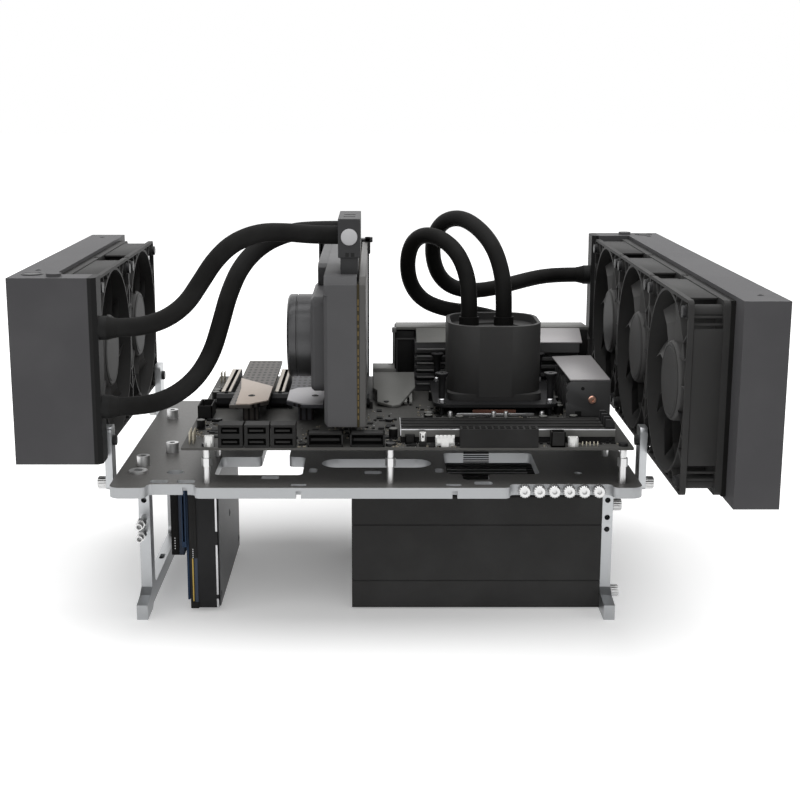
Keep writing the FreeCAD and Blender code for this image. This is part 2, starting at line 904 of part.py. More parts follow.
def make_leg(name, side):
    """A flat leg with flared feet, a window and holes for spare standoffs."""
    body = new_body(name)
    face = sketch_on(body, "YZ_Plane", sided(side, leg_inside, s.leg_thick))
    front, back = s.leg_front, s.leg_front + s.leg_deep
    toe, heel = front - s.foot_reach, back + s.foot_reach
    outline(
        face,
        [
            (toe, as_size(0)),
            (toe + s.foot_long, as_size(0)),
            (toe + s.foot_long + s.bar_lift, s.bar_lift),
            (heel - s.foot_long - s.bar_lift, s.bar_lift),
            (heel - s.foot_long, as_size(0)),
            (heel, as_size(0)),
            (heel, s.foot_tall),
            (back + s.foot_reach * 0.35, s.foot_tall + s.foot_reach * 0.1),
            (back, s.knee_tall),
            (back, s.leg_tall),
            (front, s.leg_tall),
            (front, s.knee_tall),
            (front - s.foot_reach * 0.35, s.foot_tall + s.foot_reach * 0.1),
            (toe, s.foot_tall),
        ],
    )
    soft_rectangle(
        face,
        front + s.upright_wide,
        s.bar_top,
        s.leg_deep - s.upright_wide * 2,
        s.leg_tall - s.head_bar_tall - s.bar_top,
        s.window_corner,
    )
    if side > 0:
        for y, z in supply_screws:
            circle(face, y, z, thumb_hole_radius)
    pad(body, face, s.leg_thick)

    bolts = sketch_on(body, "XY_Plane", 0)
    middle = front + s.leg_deep / 2
    soft_rectangle(
        bolts,
        side * leg_middle - s.leg_thick * 0.25,
        middle - s.foot_bolt_slot / 2,
        s.leg_thick * 0.5,
        s.foot_bolt_slot,
        s.leg_thick * 0.2,
    )
    pocket(body, bolts, s.bar_top + 1)

    rack = sketch_on(body, "XZ_Plane", -front - s.rack_hole_deep)
    for height in spare_heights + [s.top_rack_hole]:
        circle(rack, side * leg_middle, height, s.rack_hole_radius)
    pocket(body, rack, s.rack_hole_deep + 1)


make_leg("left_leg", -1)
make_leg("right_leg", 1)


# Standoffs: nine carry the board and two spares wait in the left leg.


def make_standoff(x, y, z, axis, stud_radius, stud_long):
    """A six sided collar on a round post, with a stud at its foot."""
    post = rod(x, y, z, s.standoff_radius, s.standoff_tall, axis)
    step = s.collar_height
    if axis == "z":
        collar = hexagon(x, y, z + step, s.collar_radius, s.collar_tall, axis)
        stud = rod(x, y, z - stud_long, stud_radius, stud_long, axis)
        bore = rod(x, y, z + s.standoff_tall - s.board_screw_long, stud_hole_radius, s.board_screw_long, axis)
    else:
        collar = hexagon(x, y - step, z, s.collar_radius, s.collar_tall, axis)
        stud = rod(x, y + stud_long, z, stud_radius, stud_long, axis)
        bore = rod(x, y - s.standoff_tall + s.board_screw_long, z, stud_hole_radius, s.board_screw_long, axis)
    return cut(fuse(post, collar, stud), bore)


carriers = [
    make_standoff(x, y, plate_top, "z", s.stud_radius, s.stud_long - s.seat_gap) for x, y in board_holes
]
spares = [
    make_standoff(-leg_middle, s.leg_front, height, "-y", s.stud_radius, s.stud_long)
    for height in spare_heights
]
node("standoffs", separate(*carriers, *spares))


# Thumbscrews: six stored in the plate, four in the radiator brackets, four in the supply.


def make_thumbscrew(x, y, z, axis, shank):
    """A round head with a socket, and a shank that runs on into its hole.

    The point is the middle of the head's seat, and the axis points away from it.
    """
    steps = {"x": (1, 0), "-x": (-1, 0), "-y": (0, -1)}
    step_x, step_y = steps[axis]
    head = rod(x, y, z, s.thumb_radius, s.thumb_long, axis)
    body = rod(x - step_x * shank, y - step_y * shank, z, s.thumb_shank_radius, shank, axis)
    reach = s.thumb_long - s.thumb_socket_deep
    socket = hexagon(
        x + step_x * reach, y + step_y * reach, z, s.thumb_socket_radius, s.thumb_socket_deep, axis
    )
    return cut(fuse(head, body), socket)


stored = [
    make_thumbscrew(
        s.stored_start + index * s.stored_pitch, recess_wall, stored_height, "-y", s.stored_shank
    )
    for index in range(6)
]
bracket_screws = [
    make_thumbscrew(side * fan_face, y, stored_height, "x" if side > 0 else "-x", s.bracket_thick + s.stored_shank)
    for side, y in bracket_places
]
supply_thumbscrews = [make_thumbscrew(leg_outside, y, z, "x", s.supply_screw_long) for y, z in supply_screws]
node("thumbscrews", separate(*stored, *bracket_screws, *supply_thumbscrews))


# Threaded nuts and a ring on the plate's left side


def make_nut(x, y):
    return cut(
        rod(x, y, plate_top, s.nut_radius, s.nut_tall), rod(x, y, plate_top, s.nut_hole_radius, s.nut_tall)
    )


ring = cut(
    rod(s.ring_x, s.ring_y, plate_top, s.ring_radius, s.nut_tall * 0.2),
    rod(s.ring_x, s.ring_y, plate_top, s.ring_hole_radius * 0.75, s.nut_tall * 0.2),
)
nut_places = [(-165.3, -38.0), (-150.0, 0.0), (-165.3, 109.5)]
node("plate_nuts", separate(ring, *[make_nut(as_size(x), as_size(y)) for x, y in nut_places]))


# Bars that stand against the plate's sides and carry the fans


def bracket_fan_hole(side, y):
    """The fan hole that a bracket meets, which isn't always at its middle."""
    fronts, count = (right_fan_front, right_fans) if side > 0 else (left_fan_front, left_fans)
    if float(y) < 0:
        return fronts + (s.fan_side - s.fan_hole_inset if side > 0 else s.fan_hole_inset)
    return fronts + count * s.fan_side - s.fan_hole_inset


def make_bracket(side, y):
    wide = s.front_bracket_wide if float(y) < 0 else s.rear_bracket_wide
    bar = box(
        sided(side, plate_side, s.bracket_thick),
        y - wide / 2,
        s.leg_tall,
        s.bracket_thick,
        wide,
        s.bracket_tall,
    )
    bar = rounded(bar, s.bracket_corner, (1, 0, 0))
    start = sided(side, plate_side, s.bracket_thick)
    low = rod(start, y, stored_height, thumb_hole_radius, s.bracket_thick, "x")
    high = rod(start, bracket_fan_hole(side, y), fan_low_hole, s.fan_hole_radius, s.bracket_thick, "x")
    return cut(bar, low, high)


node("radiator_brackets", separate(*[make_bracket(side, y) for side, y in bracket_places]))


# Fan frames: a full plate on the radiator's side, an open webbed face on the other.

fan_half = s.fan_side / 2


def make_fan_frame(name, side, front):
    """A frame whose own Z is its depth, turned to stand on one side of the plate."""
    body = new_body(name)
    body.Placement = FreeCAD.Placement(FreeCAD.Vector(), AXIS_TURNS["x" if side > 0 else "-x"])
    body.setExpression("Placement.Base.x", (side * fan_face).formula)
    body.setExpression("Placement.Base.y", (front + fan_half).formula)
    body.setExpression("Placement.Base.z", s.fan_centre_height.formula)

    plate = sketch_on(body, "XY_Plane", s.fan_thick - s.fan_plate_thick)
    soft_rectangle(plate, -fan_half, -fan_half, s.fan_side, s.fan_side, s.fan_corner)
    circle(plate, 0, 0, s.fan_bore_radius)
    pad(body, plate, s.fan_plate_thick)

    ring = sketch_on(body, "XY_Plane", 0)
    circle(ring, 0, 0, s.fan_ring_radius)
    circle(ring, 0, 0, s.fan_bore_radius)
    pad(body, ring, s.fan_thick)

    rim = sketch_on(body, "XY_Plane", 0)
    soft_rectangle(rim, -fan_half, -fan_half, s.fan_side, s.fan_side, s.fan_corner)
    inner = fan_half - s.fan_rim_wide
    soft_rectangle(rim, -inner, -inner, inner * 2, inner * 2, s.fan_corner - s.fan_rim_wide)
    pad(body, rim, s.fan_rim_tall)

    boss_middle = fan_half - s.fan_hole_inset
    corners = [(side_x * boss_middle, side_y * boss_middle) for side_x in (-1, 1) for side_y in (-1, 1)]
    bosses = sketch_on(body, "XY_Plane", 0)
    for x, y in corners:
        circle(bosses, x, y, s.fan_boss_radius)
    pad(body, bosses, s.fan_thick)

    webs = sketch_on(body, "XY_Plane", 0)
    for step in (-2, -1, 1, 2):
        web_outline(webs, 45 + step * SIZES["fan_web_step"])
    web = pad(body, webs, s.fan_thick)
    pattern = body.newObject("PartDesign::PolarPattern", "AllWebs")
    pattern.Originals = [web]
    pattern.Axis = (webs, ["N_Axis"])
    pattern.Angle = 360
    pattern.Occurrences = 4
    body.Tip = pattern

    holes = sketch_on(body, "XY_Plane", 0)
    for x, y in corners:
        circle(holes, x, y, s.fan_hole_radius)
    pocket(body, holes, s.fan_thick)

    hub = sketch_on(body, "XY_Plane", s.fan_thick - s.fan_plate_thick)
    circle(hub, 0, 0, s.fan_hub_radius * 0.8)
    circle(hub, 0, 0, s.fan_shaft_radius + s.fan_shaft_clearance)
    pad(body, hub, s.fan_plate_thick * 0.9)

    strut = sketch_on(body, "XY_Plane", s.fan_thick - s.fan_plate_thick)
    rectangle(
        strut,
        s.fan_hub_radius * 0.7,
        -(s.fan_strut_wide / 2),
        s.fan_ring_radius - s.fan_hub_radius * 0.7 - 0.5,
        s.fan_strut_wide,
    )
    arm = pad(body, strut, s.fan_plate_thick * 0.9)
    arms = body.newObject("PartDesign::PolarPattern", "AllStruts")
    arms.Originals = [arm]
    arms.Axis = (strut, ["N_Axis"])
    arms.Angle = 360
    arms.Occurrences = 4
    body.Tip = arms


def web_outline(sketch, angle):
    """A thin web from the ring out to the frame's square edge."""
    turn = math.radians(angle)
    across = (-math.sin(turn), math.cos(turn))
    along = (math.cos(turn), math.sin(turn))
    start = s.fan_ring_radius - 0.9
    end = (fan_half - s.fan_rim_wide * 0.5) / max(abs(along[0]), abs(along[1]))
    half = s.fan_web_thick / 2
    corners = [(start, -half), (end, -half), (end, half), (start, half)]
    outline(
        sketch,
        [(reach * along[0] + shift * across[0], reach * along[1] + shift * across[1]) for reach, shift in corners],
    )


def blade_section(radius, chord, pitch, thick, middle):
    """A blade's closed section across its span, at one radius from the shaft."""
    turn = math.radians(pitch)
    half, side = chord / 2, thick / 2
    corners = []
    for along, across in ((-half, 0), (-half * 0.2, side), (half, 0.25 * side), (half, -0.25 * side), (-half * 0.2, -side)):
        y = along * math.cos(turn) - across * math.sin(turn)
        z = along * math.sin(turn) + across * math.cos(turn)
        corners.append(FreeCAD.Vector(radius, y, middle + z))
    return Part.makePolygon(corners + corners[:1])


def make_rotor_shape(hub_radius, hub_long, hub_round, tip_radius, shaft_radius, shaft_long, blades, middle):
    """A hub with a rounded front, swept blades and a shaft at its back.

    The rotor's own Z is its axis, and its front face is at zero.
    """
    axis = FreeCAD.Vector(0, 0, 1)
    hub = Part.makeCylinder(hub_radius, hub_long)
    front = [edge for edge in hub.Edges if edge.BoundBox.ZMax < 1e-6]
    hub = hub.makeFillet(hub_round, front)
    shaft = Part.makeCylinder(shaft_radius, shaft_long, FreeCAD.Vector(0, 0, hub_long))
    thick = float(s.fan_blade_thick)
    sections = []
    for share in (0.0, 0.5, 1.0):
        radius = (hub_radius - 2.0) * (1 - share) + tip_radius * share
        chord = float(s.fan_blade_root_chord) * (1 - share) + float(s.fan_blade_tip_chord) * share
        pitch = float(s.fan_blade_root_pitch) * (1 - share) + float(s.fan_blade_tip_pitch) * share
        section = blade_section(radius, chord, pitch, thick, middle)
        section.rotate(FreeCAD.Vector(), axis, -14 * share * share)
        sections.append(section)
    blade = Part.makeLoft(sections, True, True)
    copies = []
    for index in range(blades):
        copy = blade.copy()
        copy.rotate(FreeCAD.Vector(), axis, 360.0 * index / blades)
        copies.append(copy)
    return hub.fuse([shaft] + copies).removeSplitter()


def make_fan_rotor(name, side, front):
    start, middle = float(s.fan_hub_start), float(s.fan_hub_long) / 2
    tip = math.sqrt((float(s.fan_bore_radius) - float(s.fan_tip_clearance)) ** 2 - 14.0 ** 2)
    shape = make_rotor_shape(
        float(s.fan_hub_radius),
        float(s.fan_hub_long),
        float(s.fan_hub_round),
        tip,
        float(s.fan_shaft_radius),
        float(s.fan_thick) - start - float(s.fan_hub_long) - 1.0,
        int(float(s.fan_blades)),
        middle,
    )
    item = solid_of(name, shape)
    item.Placement = FreeCAD.Placement(FreeCAD.Vector(), AXIS_TURNS["x" if side > 0 else "-x"])
    item.setExpression("Placement.Base.x", (side * (fan_face + s.fan_hub_start)).formula)
    item.setExpression("Placement.Base.y", (front + fan_half).formula)
    item.setExpression("Placement.Base.z", s.fan_centre_height.formula)


fan_fronts = {"right": (1, right_fan_front, right_fans), "left": (-1, left_fan_front, left_fans)}
for word, (side, first_front, count) in fan_fronts.items():
    for index in range(count):
        make_fan_frame(f"{word}_fan_frame_{index + 1}", side, first_front + index * s.fan_side)
        make_fan_rotor(f"{word}_fan_rotor_{index + 1}", side, first_front + index * s.fan_side)


# Screws through the fans' corners into the radiators, four of them through a bracket


def fan_hole_places(side):
    first_front, count = (right_fan_front, right_fans) if side > 0 else (left_fan_front, left_fans)
    places = []
    for index in range(count):
        start = first_front + index * s.fan_side
        for y in (start + s.fan_hole_inset, start + s.fan_side - s.fan_hole_inset):
            places += [(y, fan_low_hole), (y, fan_top_hole)]
    return places


def make_fan_screw(side, y, z, seat):
    axis, away = ("x", "-x") if side > 0 else ("-x", "x")
    shank_long = radiator_face + s.fan_screw_grip - seat
    shank = rod(side * seat, y, z, s.fan_screw_shank_radius, shank_long, axis)
    head = rod(side * seat, y, z, s.fan_screw_head_radius, s.fan_screw_head_long, away)
    return fuse(head, shank)


fan_screws = []
for side in (-1, 1):
    held = [float(bracket_fan_hole(side, y)) for bracket_side, y in bracket_places if bracket_side == side]
    for y, z in fan_hole_places(side):
        through_bracket = z is fan_low_hole and min(abs(float(y) - place) for place in held) < 1e-6
        fan_screws.append(make_fan_screw(side, y, z, plate_side if through_bracket else fan_face))
node("fan_screws", separate(*fan_screws))


# Rubber frames between the fans and the radiators


def make_gasket(side, first_front, count):
    start = sided(side, gasket_face, s.gasket_thick)
    sheet_block = box(start, first_front, fan_bottom, s.gasket_thick, count * s.fan_side, s.fan_side)
    windows = [
        box(
            start,
            first_front + index * s.fan_side + s.gasket_wide,
            fan_bottom + s.gasket_wide,
            s.gasket_thick,
            s.fan_side - s.gasket_wide * 2,
            s.fan_side - s.gasket_wide * 2,
        )
        for index in range(count)
    ]
    return cut(sheet_block, *windows)


node("fan_gaskets", separate(*[make_gasket(*fan_fronts[word]) for word in ("left", "right")]))


# Radiators


def make_radiator(name, side, front, long, thick_front, thin_tank, thick_tank, fan_front, count):
    """A finned block with a thick tank that carries the two hose ports."""
    start = sided(side, radiator_face, s.radiator_thick)
    tank_y = front if thick_front else front + long - thick_tank
    block = box(start, front, radiator_bottom, s.radiator_thick, long, s.radiator_tall)
    tank_start = sided(side, tank_inside, s.radiator_tank_thick)
    tank = box(tank_start, tank_y, radiator_bottom, s.radiator_tank_thick, thick_tank, s.radiator_tall)
    shell = bevelled(tank, s.radiator_tank_chamfer, (0, 0, 1))
    whole = fuse(block, shell)
    window_long = count * s.fan_side - s.radiator_window_inset * 2
    window_tall = s.radiator_tall - s.radiator_window_inset * 2
    window_low = radiator_bottom + s.radiator_window_inset
    window_front = fan_front + s.radiator_window_inset
    tools = [
        box(start + shift, window_front, window_low, s.radiator_window_deep, window_long, window_tall)
        for shift in (0 * s.radiator_thick, s.radiator_thick - s.radiator_window_deep)
    ]
    for y, z in fan_hole_places(side):
        reach = s.fan_screw_grip + 1
        tools.append(rod(side * radiator_face, y, z, s.fan_hole_radius, reach, "x" if side > 0 else "-x"))
    whole = cut(whole, *tools)
    pitch = window_tall / s.radiator_tubes
    tubes = []
    for index in range(int(float(s.radiator_tubes))):
        low = window_low + (index + 0.5) * pitch - s.radiator_tube_tall / 2
        inset = s.radiator_window_deep - s.radiator_tube_deep
        tubes.append(
            box(
                start + inset,
                window_front,
                low,
                s.radiator_thick - inset * 2,
                window_long,
                s.radiator_tube_tall,
            )
        )
    port_y = tank_y + thick_tank / 2
    ports = [
        rod(side * (tank_inside - s.port_long), port_y, z, s.port_radius, s.port_long + 1, "x" if side > 0 else "-x")
        for z in (s.port_low, s.port_high)
    ]
    plug_x = side * (radiator_outside - s.radiator_tank_thick * 0.5)
    plug = rod(plug_x, port_y, radiator_bottom + s.radiator_tall, s.plug_radius, s.plug_tall)
    node(name, fuse(whole, *tubes, *ports, plug))


make_radiator(
    "right_radiator",
    1,
    right_radiator_front,
    right_radiator_long,
    False,
    s.right_near_tank,
    s.right_far_tank,
    right_fan_front,
    right_fans,
)
make_radiator(
    "left_radiator",
    -1,
    left_radiator_front,
    left_radiator_long,
    True,
    s.left_rear_tank,
    s.left_front_tank,
    left_fan_front,
    left_fans,
)


# Board with its nine holes, and the screws that hold it


def make_board():
    body = new_body("mainboard")
    face = sketch_on(body, "XY_Plane", board_bottom)
    soft_rectangle(face, s.board_left, s.board_front, s.board_long, s.board_deep, s.board_corner)
    for x, y in board_holes:
        circle(face, x, y, s.board_hole_radius)
    pad(body, face, s.board_thick)


make_board()
node(
    "board_screws",
    separate(
        *[
            fuse(
                rod(x, y, board_top, s.board_screw_radius, s.board_screw_tall),
                rod(
                    x,
                    y,
                    board_bottom - s.board_screw_long + s.seat_gap,
                    s.stud_radius,
                    s.board_screw_long + s.board_thick - s.seat_gap,
                ),
            )
            for x, y in board_holes
        ]
    ),
)


# Long slots for cards, with a hinged latch at the front end of each

slot_columns = [s.card_slot_x, s.card_slot_x - 3 * s.slot_pitch, s.card_slot_x - 5 * s.slot_pitch]
latch_pin_z = board_top + s.latch_pin_height
latch_pin_y = s.slot_front - s.latch_gap - s.latch_long / 2


def make_slot(x):
    left = x - s.slot_wide / 2
    block = box(left, s.slot_front, board_top, s.slot_wide, s.slot_long, s.slot_tall)
    groove = box(
        x - s.slot_groove_wide / 2,
        s.slot_front + s.slot_end_wall,
        board_top + s.slot_tall - s.slot_groove_deep,
        s.slot_groove_wide,
        s.slot_long - s.slot_end_wall * 2,
        s.slot_groove_deep,
    )
    cheek_wide = (s.latch_wide - s.latch_gap * 2) * 0.18
    cheeks = []
    for side in (-1, 1):
        inside = s.latch_wide / 2 + s.latch_gap
        low = x + inside if side > 0 else x - inside - cheek_wide
        cheeks.append(
            cut(
                box(
                    low,
                    s.slot_front - s.latch_gap - s.latch_long,
                    board_top,
                    cheek_wide,
                    s.latch_long + s.latch_gap + 2,
                    s.latch_pin_height * 2,
                ),
                rod(low, latch_pin_y, latch_pin_z, s.latch_pin_radius + 0.05, cheek_wide, "x"),
            )
        )
    bridge = box(
        x - s.latch_wide / 2 - s.latch_gap,
        s.slot_front,
        board_top,
        s.latch_wide + s.latch_gap * 2,
        2,
        s.latch_pin_height * 2,
    )
    return fuse(cut(block, groove), bridge, *cheeks)


def make_slot_latch(x):
    """A lever on a pin: press its top and it tips forward to free the card."""
    left = x - s.latch_wide / 2
    front = s.slot_front - s.latch_gap - s.latch_long
    low = board_top + s.latch_lift
    block = box(left, front, low, s.latch_wide, s.latch_long, s.latch_tall - s.latch_lift)
    block = bevelled(block, s.latch_long * 0.3, (1, 0, 0), lambda middle: middle.y < float(front) + 0.1)
    notch = box(
        x - s.slot_groove_wide * 0.7,
        front + s.latch_long * 0.5,
        board_top + s.latch_tall * 0.62,
        s.slot_groove_wide * 1.4,
        s.latch_long,
        s.latch_tall,
    )
    pin_long = s.latch_wide + s.latch_gap * 2 + s.latch_wide * 0.2
    pin = rod(x - pin_long / 2, latch_pin_y, latch_pin_z, s.latch_pin_radius, pin_long, "x")
    return fuse(cut(block, notch), pin)


node("card_slots", separate(*[make_slot(x) for x in slot_columns]))
node("slot_latches", separate(*[make_slot_latch(x) for x in slot_columns]))


# Memory slots in a row of four, with a lever at their right ends

memory_rows = [s.memory_front + index * s.memory_pitch for index in range(4)]
memory_body_long = s.memory_long - s.memory_latch_long - s.latch_gap
memory_latch_x = s.memory_start + memory_body_long + s.latch_gap
memory_pin_x = memory_latch_x + s.memory_latch_long / 2
memory_pin_z = board_top + s.latch_pin_height


def make_memory_slot(y):
    block = box(s.memory_start, y, board_top, memory_body_long, s.memory_wide, s.memory_tall)
    groove = box(
        s.memory_start + s.slot_end_wall,
        y + (s.memory_wide - s.memory_groove_wide) / 2,
        board_top + s.memory_tall - s.memory_groove_deep,
        memory_body_long - s.slot_end_wall * 2,
        s.memory_groove_wide,
        s.memory_groove_deep,
    )
    cheek = (s.memory_wide - memory_latch_wide) / 2 - s.screw_clearance
    walls = []
    for low in (y, y + s.memory_wide - cheek):
        walls.append(
            cut(
                box(
                    memory_latch_x - s.latch_gap - 0.5,
                    low,
                    board_top,
                    s.memory_latch_long + s.latch_gap + 0.5,
                    cheek,
                    s.latch_pin_height * 2,
                ),
                rod(memory_pin_x, low, memory_pin_z, s.latch_pin_radius * 0.8 + 0.05, cheek, "y"),
            )
        )
    return fuse(cut(block, groove), *walls)


memory_latch_wide = s.memory_wide * 0.5


def make_memory_latch(y):
    middle = y + s.memory_wide / 2
    block = box(
        memory_latch_x,
        middle - memory_latch_wide / 2,
        board_top + s.latch_lift,
        s.memory_latch_long,
        memory_latch_wide,
        s.memory_latch_tall,
    )
    block = bevelled(block, s.memory_latch_long * 0.35, (0, 1, 0), lambda point: point.x > float(memory_pin_x))
    pin_long = s.memory_wide
    pin = rod(memory_pin_x, y, memory_pin_z, s.latch_pin_radius * 0.8, pin_long, "y")
    return fuse(block, pin)


node("memory_slots", separate(*[make_memory_slot(y) for y in memory_rows]))
node("memory_latches", separate(*[make_memory_latch(y) for y in memory_rows]))


# Sockets along the board's front edge


def make_power_socket():
    front = s.board_front + s.edge_inset
    block = box(
        s.power_socket_start, front, board_top, s.power_socket_long, s.power_socket_deep, s.power_socket_tall
    )
    pins = []
    inset = (s.power_socket_long - 12 * s.pin_pitch) / 2 + (s.pin_pitch - s.pin_hole) / 2
    row_inset = (s.power_socket_deep - 2 * s.pin_pitch) / 2 + (s.pin_pitch - s.pin_hole) / 2
    for column in range(12):
        for row in range(2):
            pins.append(
                box(
                    s.power_socket_start + inset + column * s.pin_pitch,
                    front + row_inset + row * s.pin_pitch,
                    board_top + s.power_socket_tall - s.pin_deep,
                    s.pin_hole,
                    s.pin_hole,
                    s.pin_deep,
                )
            )
    node("main_power_socket", cut(block, *pins))


def make_data_ports():
    stacks = []
    front = s.board_front + s.edge_inset
    for index in range(3):
        left = s.data_port_start + index * s.data_port_pitch
        block = box(left, front, board_top, s.data_port_long, s.data_port_deep, s.data_port_tall)
        mouths = []
        for row in range(2):
            low = board_top + s.data_port_tall * (0.25 + 0.5 * row) - s.data_mouth_tall / 2
            mouth_left = left + (s.data_port_long - s.data_mouth_wide) / 2
            mouth = box(mouth_left, front, low, s.data_mouth_wide, s.data_mouth_deep, s.data_mouth_tall)
            tongue = box(
                mouth_left + s.data_mouth_wide * 0.08,
                front + 0.6,
                low + s.data_mouth_tall * 0.32,
                s.data_mouth_wide * 0.78,
                s.data_mouth_deep,
                s.data_mouth_tall * 0.3,
            )
            mouths.append(cut(mouth, tongue))
        stacks.append(cut(block, *mouths))
    node("data_ports", separate(*stacks))


def make_headers():
    """Small sockets: X, Y, width, depth and height of each."""
    front = s.board_front + s.edge_inset
    blocks = [
        box(as_size(-46.2), front + 2.0, board_top, 24.2, 9.0, 9.6),
        box(as_size(-17.4), front + 2.0, board_top, 23.5, 9.0, 9.6),
        box(as_size(118.0), front + 1.0, board_top, 9.6, 8.0, 10.4),
        box(as_size(-111.2), front + 2.0, board_top, 5.0, 5.0, 8.4),
        box(as_size(29.6), front + 4.0, board_top, 4.4, 5.0, 8.0),
        box(as_size(39.8), front + 2.0, board_top, 12.8, 6.0, 8.6),
        box(as_size(129.8), front + 2.0, board_top, 6.4, 5.0, 8.6),
        box(s.board_left + 1.2, as_size(-6.0), board_top, 10.5, 24.0, 10.0),
    ]
    node("board_headers", separate(*blocks))


make_power_socket()
make_data_ports()
make_headers()


# Flat covers over the small drives, the chip cover and the heatsinks


def make_drive_cover(x, wide, side):
    """A thin cover on two feet, one front corner of it cut at a slant."""
    low = board_top + s.drive_cover_lift
    block = box(x, s.drive_cover_front, low, wide, s.drive_cover_long, s.drive_cover_tall - s.drive_cover_lift)
    nose = float(s.drive_cover_front) + 0.1
    centre = float(x) + float(wide) / 2
    block = bevelled(
        block, s.drive_cover_nose, (0, 0, 1), lambda middle: middle.y < nose and (middle.x - centre) * side > 0
    )
    foot = box(
        x + wide * 0.3,
        s.drive_cover_front + s.drive_cover_long * 0.9,
        board_top,
        wide * 0.4,
        s.drive_cover_long * 0.05,
        s.drive_cover_lift + 1,
    )
    front_foot = box(
        x + wide * 0.3,
        s.drive_cover_front + s.drive_cover_long * 0.1,
        board_top,
        wide * 0.4,
        s.drive_cover_long * 0.05,
        s.drive_cover_lift + 1,
    )
    return fuse(block, foot, front_foot)


node(
    "drive_covers",
    separate(
        make_drive_cover(s.left_drive_cover_x, s.left_drive_cover_wide, 1),
        make_drive_cover(s.right_drive_cover_x, s.right_drive_cover_wide, -1),
    ),
)

chip_block = box(
    s.chip_cover_x, s.chip_cover_y, board_top, s.chip_cover_wide, s.chip_cover_deep, s.chip_cover_tall
)
chip_top = float(board_top + s.chip_cover_tall) - 0.1
node(
    "chip_cover", bevelled(chip_block, s.chip_cover_chamfer, (1, 0, 0), lambda middle: middle.z > chip_top)
)

cover_back = board_back - s.rear_cover_back_gap
cover_top = board_top + s.rear_cover_tall


def make_rear_cover():
    """A bent cover over the rear ports, its top falling towards the front."""
    body = new_body("rear_cover")
    wall = s.rear_cover_wall
    side_profile = sketch_on(body, "YZ_Plane", s.rear_cover_x)
    outline(
        side_profile,
        [
            (s.rear_cover_front, board_top),
            (cover_back, board_top),
            (cover_back, cover_top),
            (s.rear_cover_front + s.rear_cover_drop * 2, cover_top - s.rear_cover_drop * 0.5),
            (s.rear_cover_front, cover_top - s.rear_cover_drop),
        ],
    )
    pad(body, side_profile, s.rear_cover_wide)
    hollow = sketch_on(body, "YZ_Plane", s.rear_cover_x + wall)
    outline(
        hollow,
        [
            (s.rear_cover_front - 1, board_top - 1),
            (cover_back + 1, board_top - 1),
            (cover_back + 1, cover_top - wall),
            (s.rear_cover_front + s.rear_cover_drop * 2, cover_top - s.rear_cover_drop * 0.5 - wall),
            (s.rear_cover_front - 1, cover_top - s.rear_cover_drop - wall),
        ],
    )
    pocket(body, hollow, s.rear_cover_wide - wall * 2)


make_rear_cover()


def make_rear_ports():
    """Four metal port shells under the rear cover, each open at the back."""
    front = cover_back - s.port_block_deep
    wall = s.port_block_wall
    blocks = []
    for index in range(4):
        left = s.port_block_start + index * s.port_block_pitch
        shell = box(left, front, board_top, s.port_block_wide, s.port_block_deep, s.port_block_tall)
        mouth = box(
            left + wall,
            front + s.port_block_deep * 0.4,
            board_top + wall,
            s.port_block_wide - wall * 2,
            s.port_block_deep,
            s.port_block_tall - wall * 2,
        )
        blocks.append(cut(shell, mouth))
    node("rear_ports", separate(*blocks))


make_rear_ports()


def make_power_sinks():
    """Two finned blocks: one in front of the rear cover, one on the right edge."""
    rear = box(
        s.rear_sink_x, s.rear_sink_front, board_top, s.rear_sink_wide, s.rear_sink_deep, s.rear_sink_tall
    )
    gaps = []
    for index in range(4):
        gaps.append(
            box(
                s.rear_sink_x - 1,
                s.rear_sink_front - 1,
                board_top + s.sink_fin_start + index * s.sink_fin_pitch,
                s.rear_sink_wide + 2,
                s.sink_fin_deep + 1,
                s.sink_fin_gap,
            )
        )
    rear = cut(rear, *gaps)
    side = box(
        s.side_sink_x, s.side_sink_front, board_top, s.side_sink_wide, s.side_sink_deep, s.side_sink_tall
    )
    high = float(board_top + s.side_sink_tall) - 0.1
    inner = float(s.side_sink_x) + 0.1
    side = bevelled(
        side, s.side_sink_slope, (0, 1, 0), lambda middle: middle.z > high and middle.x < inner
    )
    slots = []
    for index in range(5):
        y = s.side_sink_front + s.side_sink_deep * (0.3 + 0.14 * index)
        slots.append(
            box(
                s.side_sink_x - 1,
                y,
                board_top + s.side_sink_tall * 0.45,
                s.side_sink_wide + 2,
                s.sink_fin_gap,
                s.side_sink_tall,
            )
        )
    node("power_sinks", separate(rear, cut(side, *slots)))


make_power_sinks()


# Processor, its socket and the cooler on top

processor_bottom = board_top + s.cpu_lift
processor_top = processor_bottom + s.cpu_tall
cold_plate_top = processor_top + s.cold_plate_tall
pump_bottom = cold_plate_top
pump_top = pump_bottom + s.pump_tall


def centred_box(x, y, z, side, tall):
    return box(x - side / 2, y - side / 2, z, side, side, tall)


processor_room = s.cpu_side + s.cpu_clearance * 2
node(
    "cpu_socket",
    cut(
        centred_box(s.cpu_x, s.cpu_y, board_top, s.socket_side, s.socket_tall),
        centred_box(s.cpu_x, s.cpu_y, processor_bottom - s.cpu_lift * 0.5, processor_room, s.socket_tall),
    ),
)
node(
    "processor",
    centred_box(s.cpu_x, s.cpu_y, processor_bottom - s.cpu_lift * 0.5, s.cpu_side, s.cpu_tall + s.cpu_lift * 0.5),
)
node("cold_plate", centred_box(s.cpu_x, s.cpu_y, processor_top, s.cold_plate_side, s.cold_plate_tall))

cooler_bracket_bottom = board_top + s.cooler_bracket_lift
cooler_posts = [
    (s.cpu_x + side_x * s.cooler_screw_offset, s.cpu_y + side_y * s.cooler_screw_offset)
    for side_x in (-1, 1)
    for side_y in (-1, 1)
]


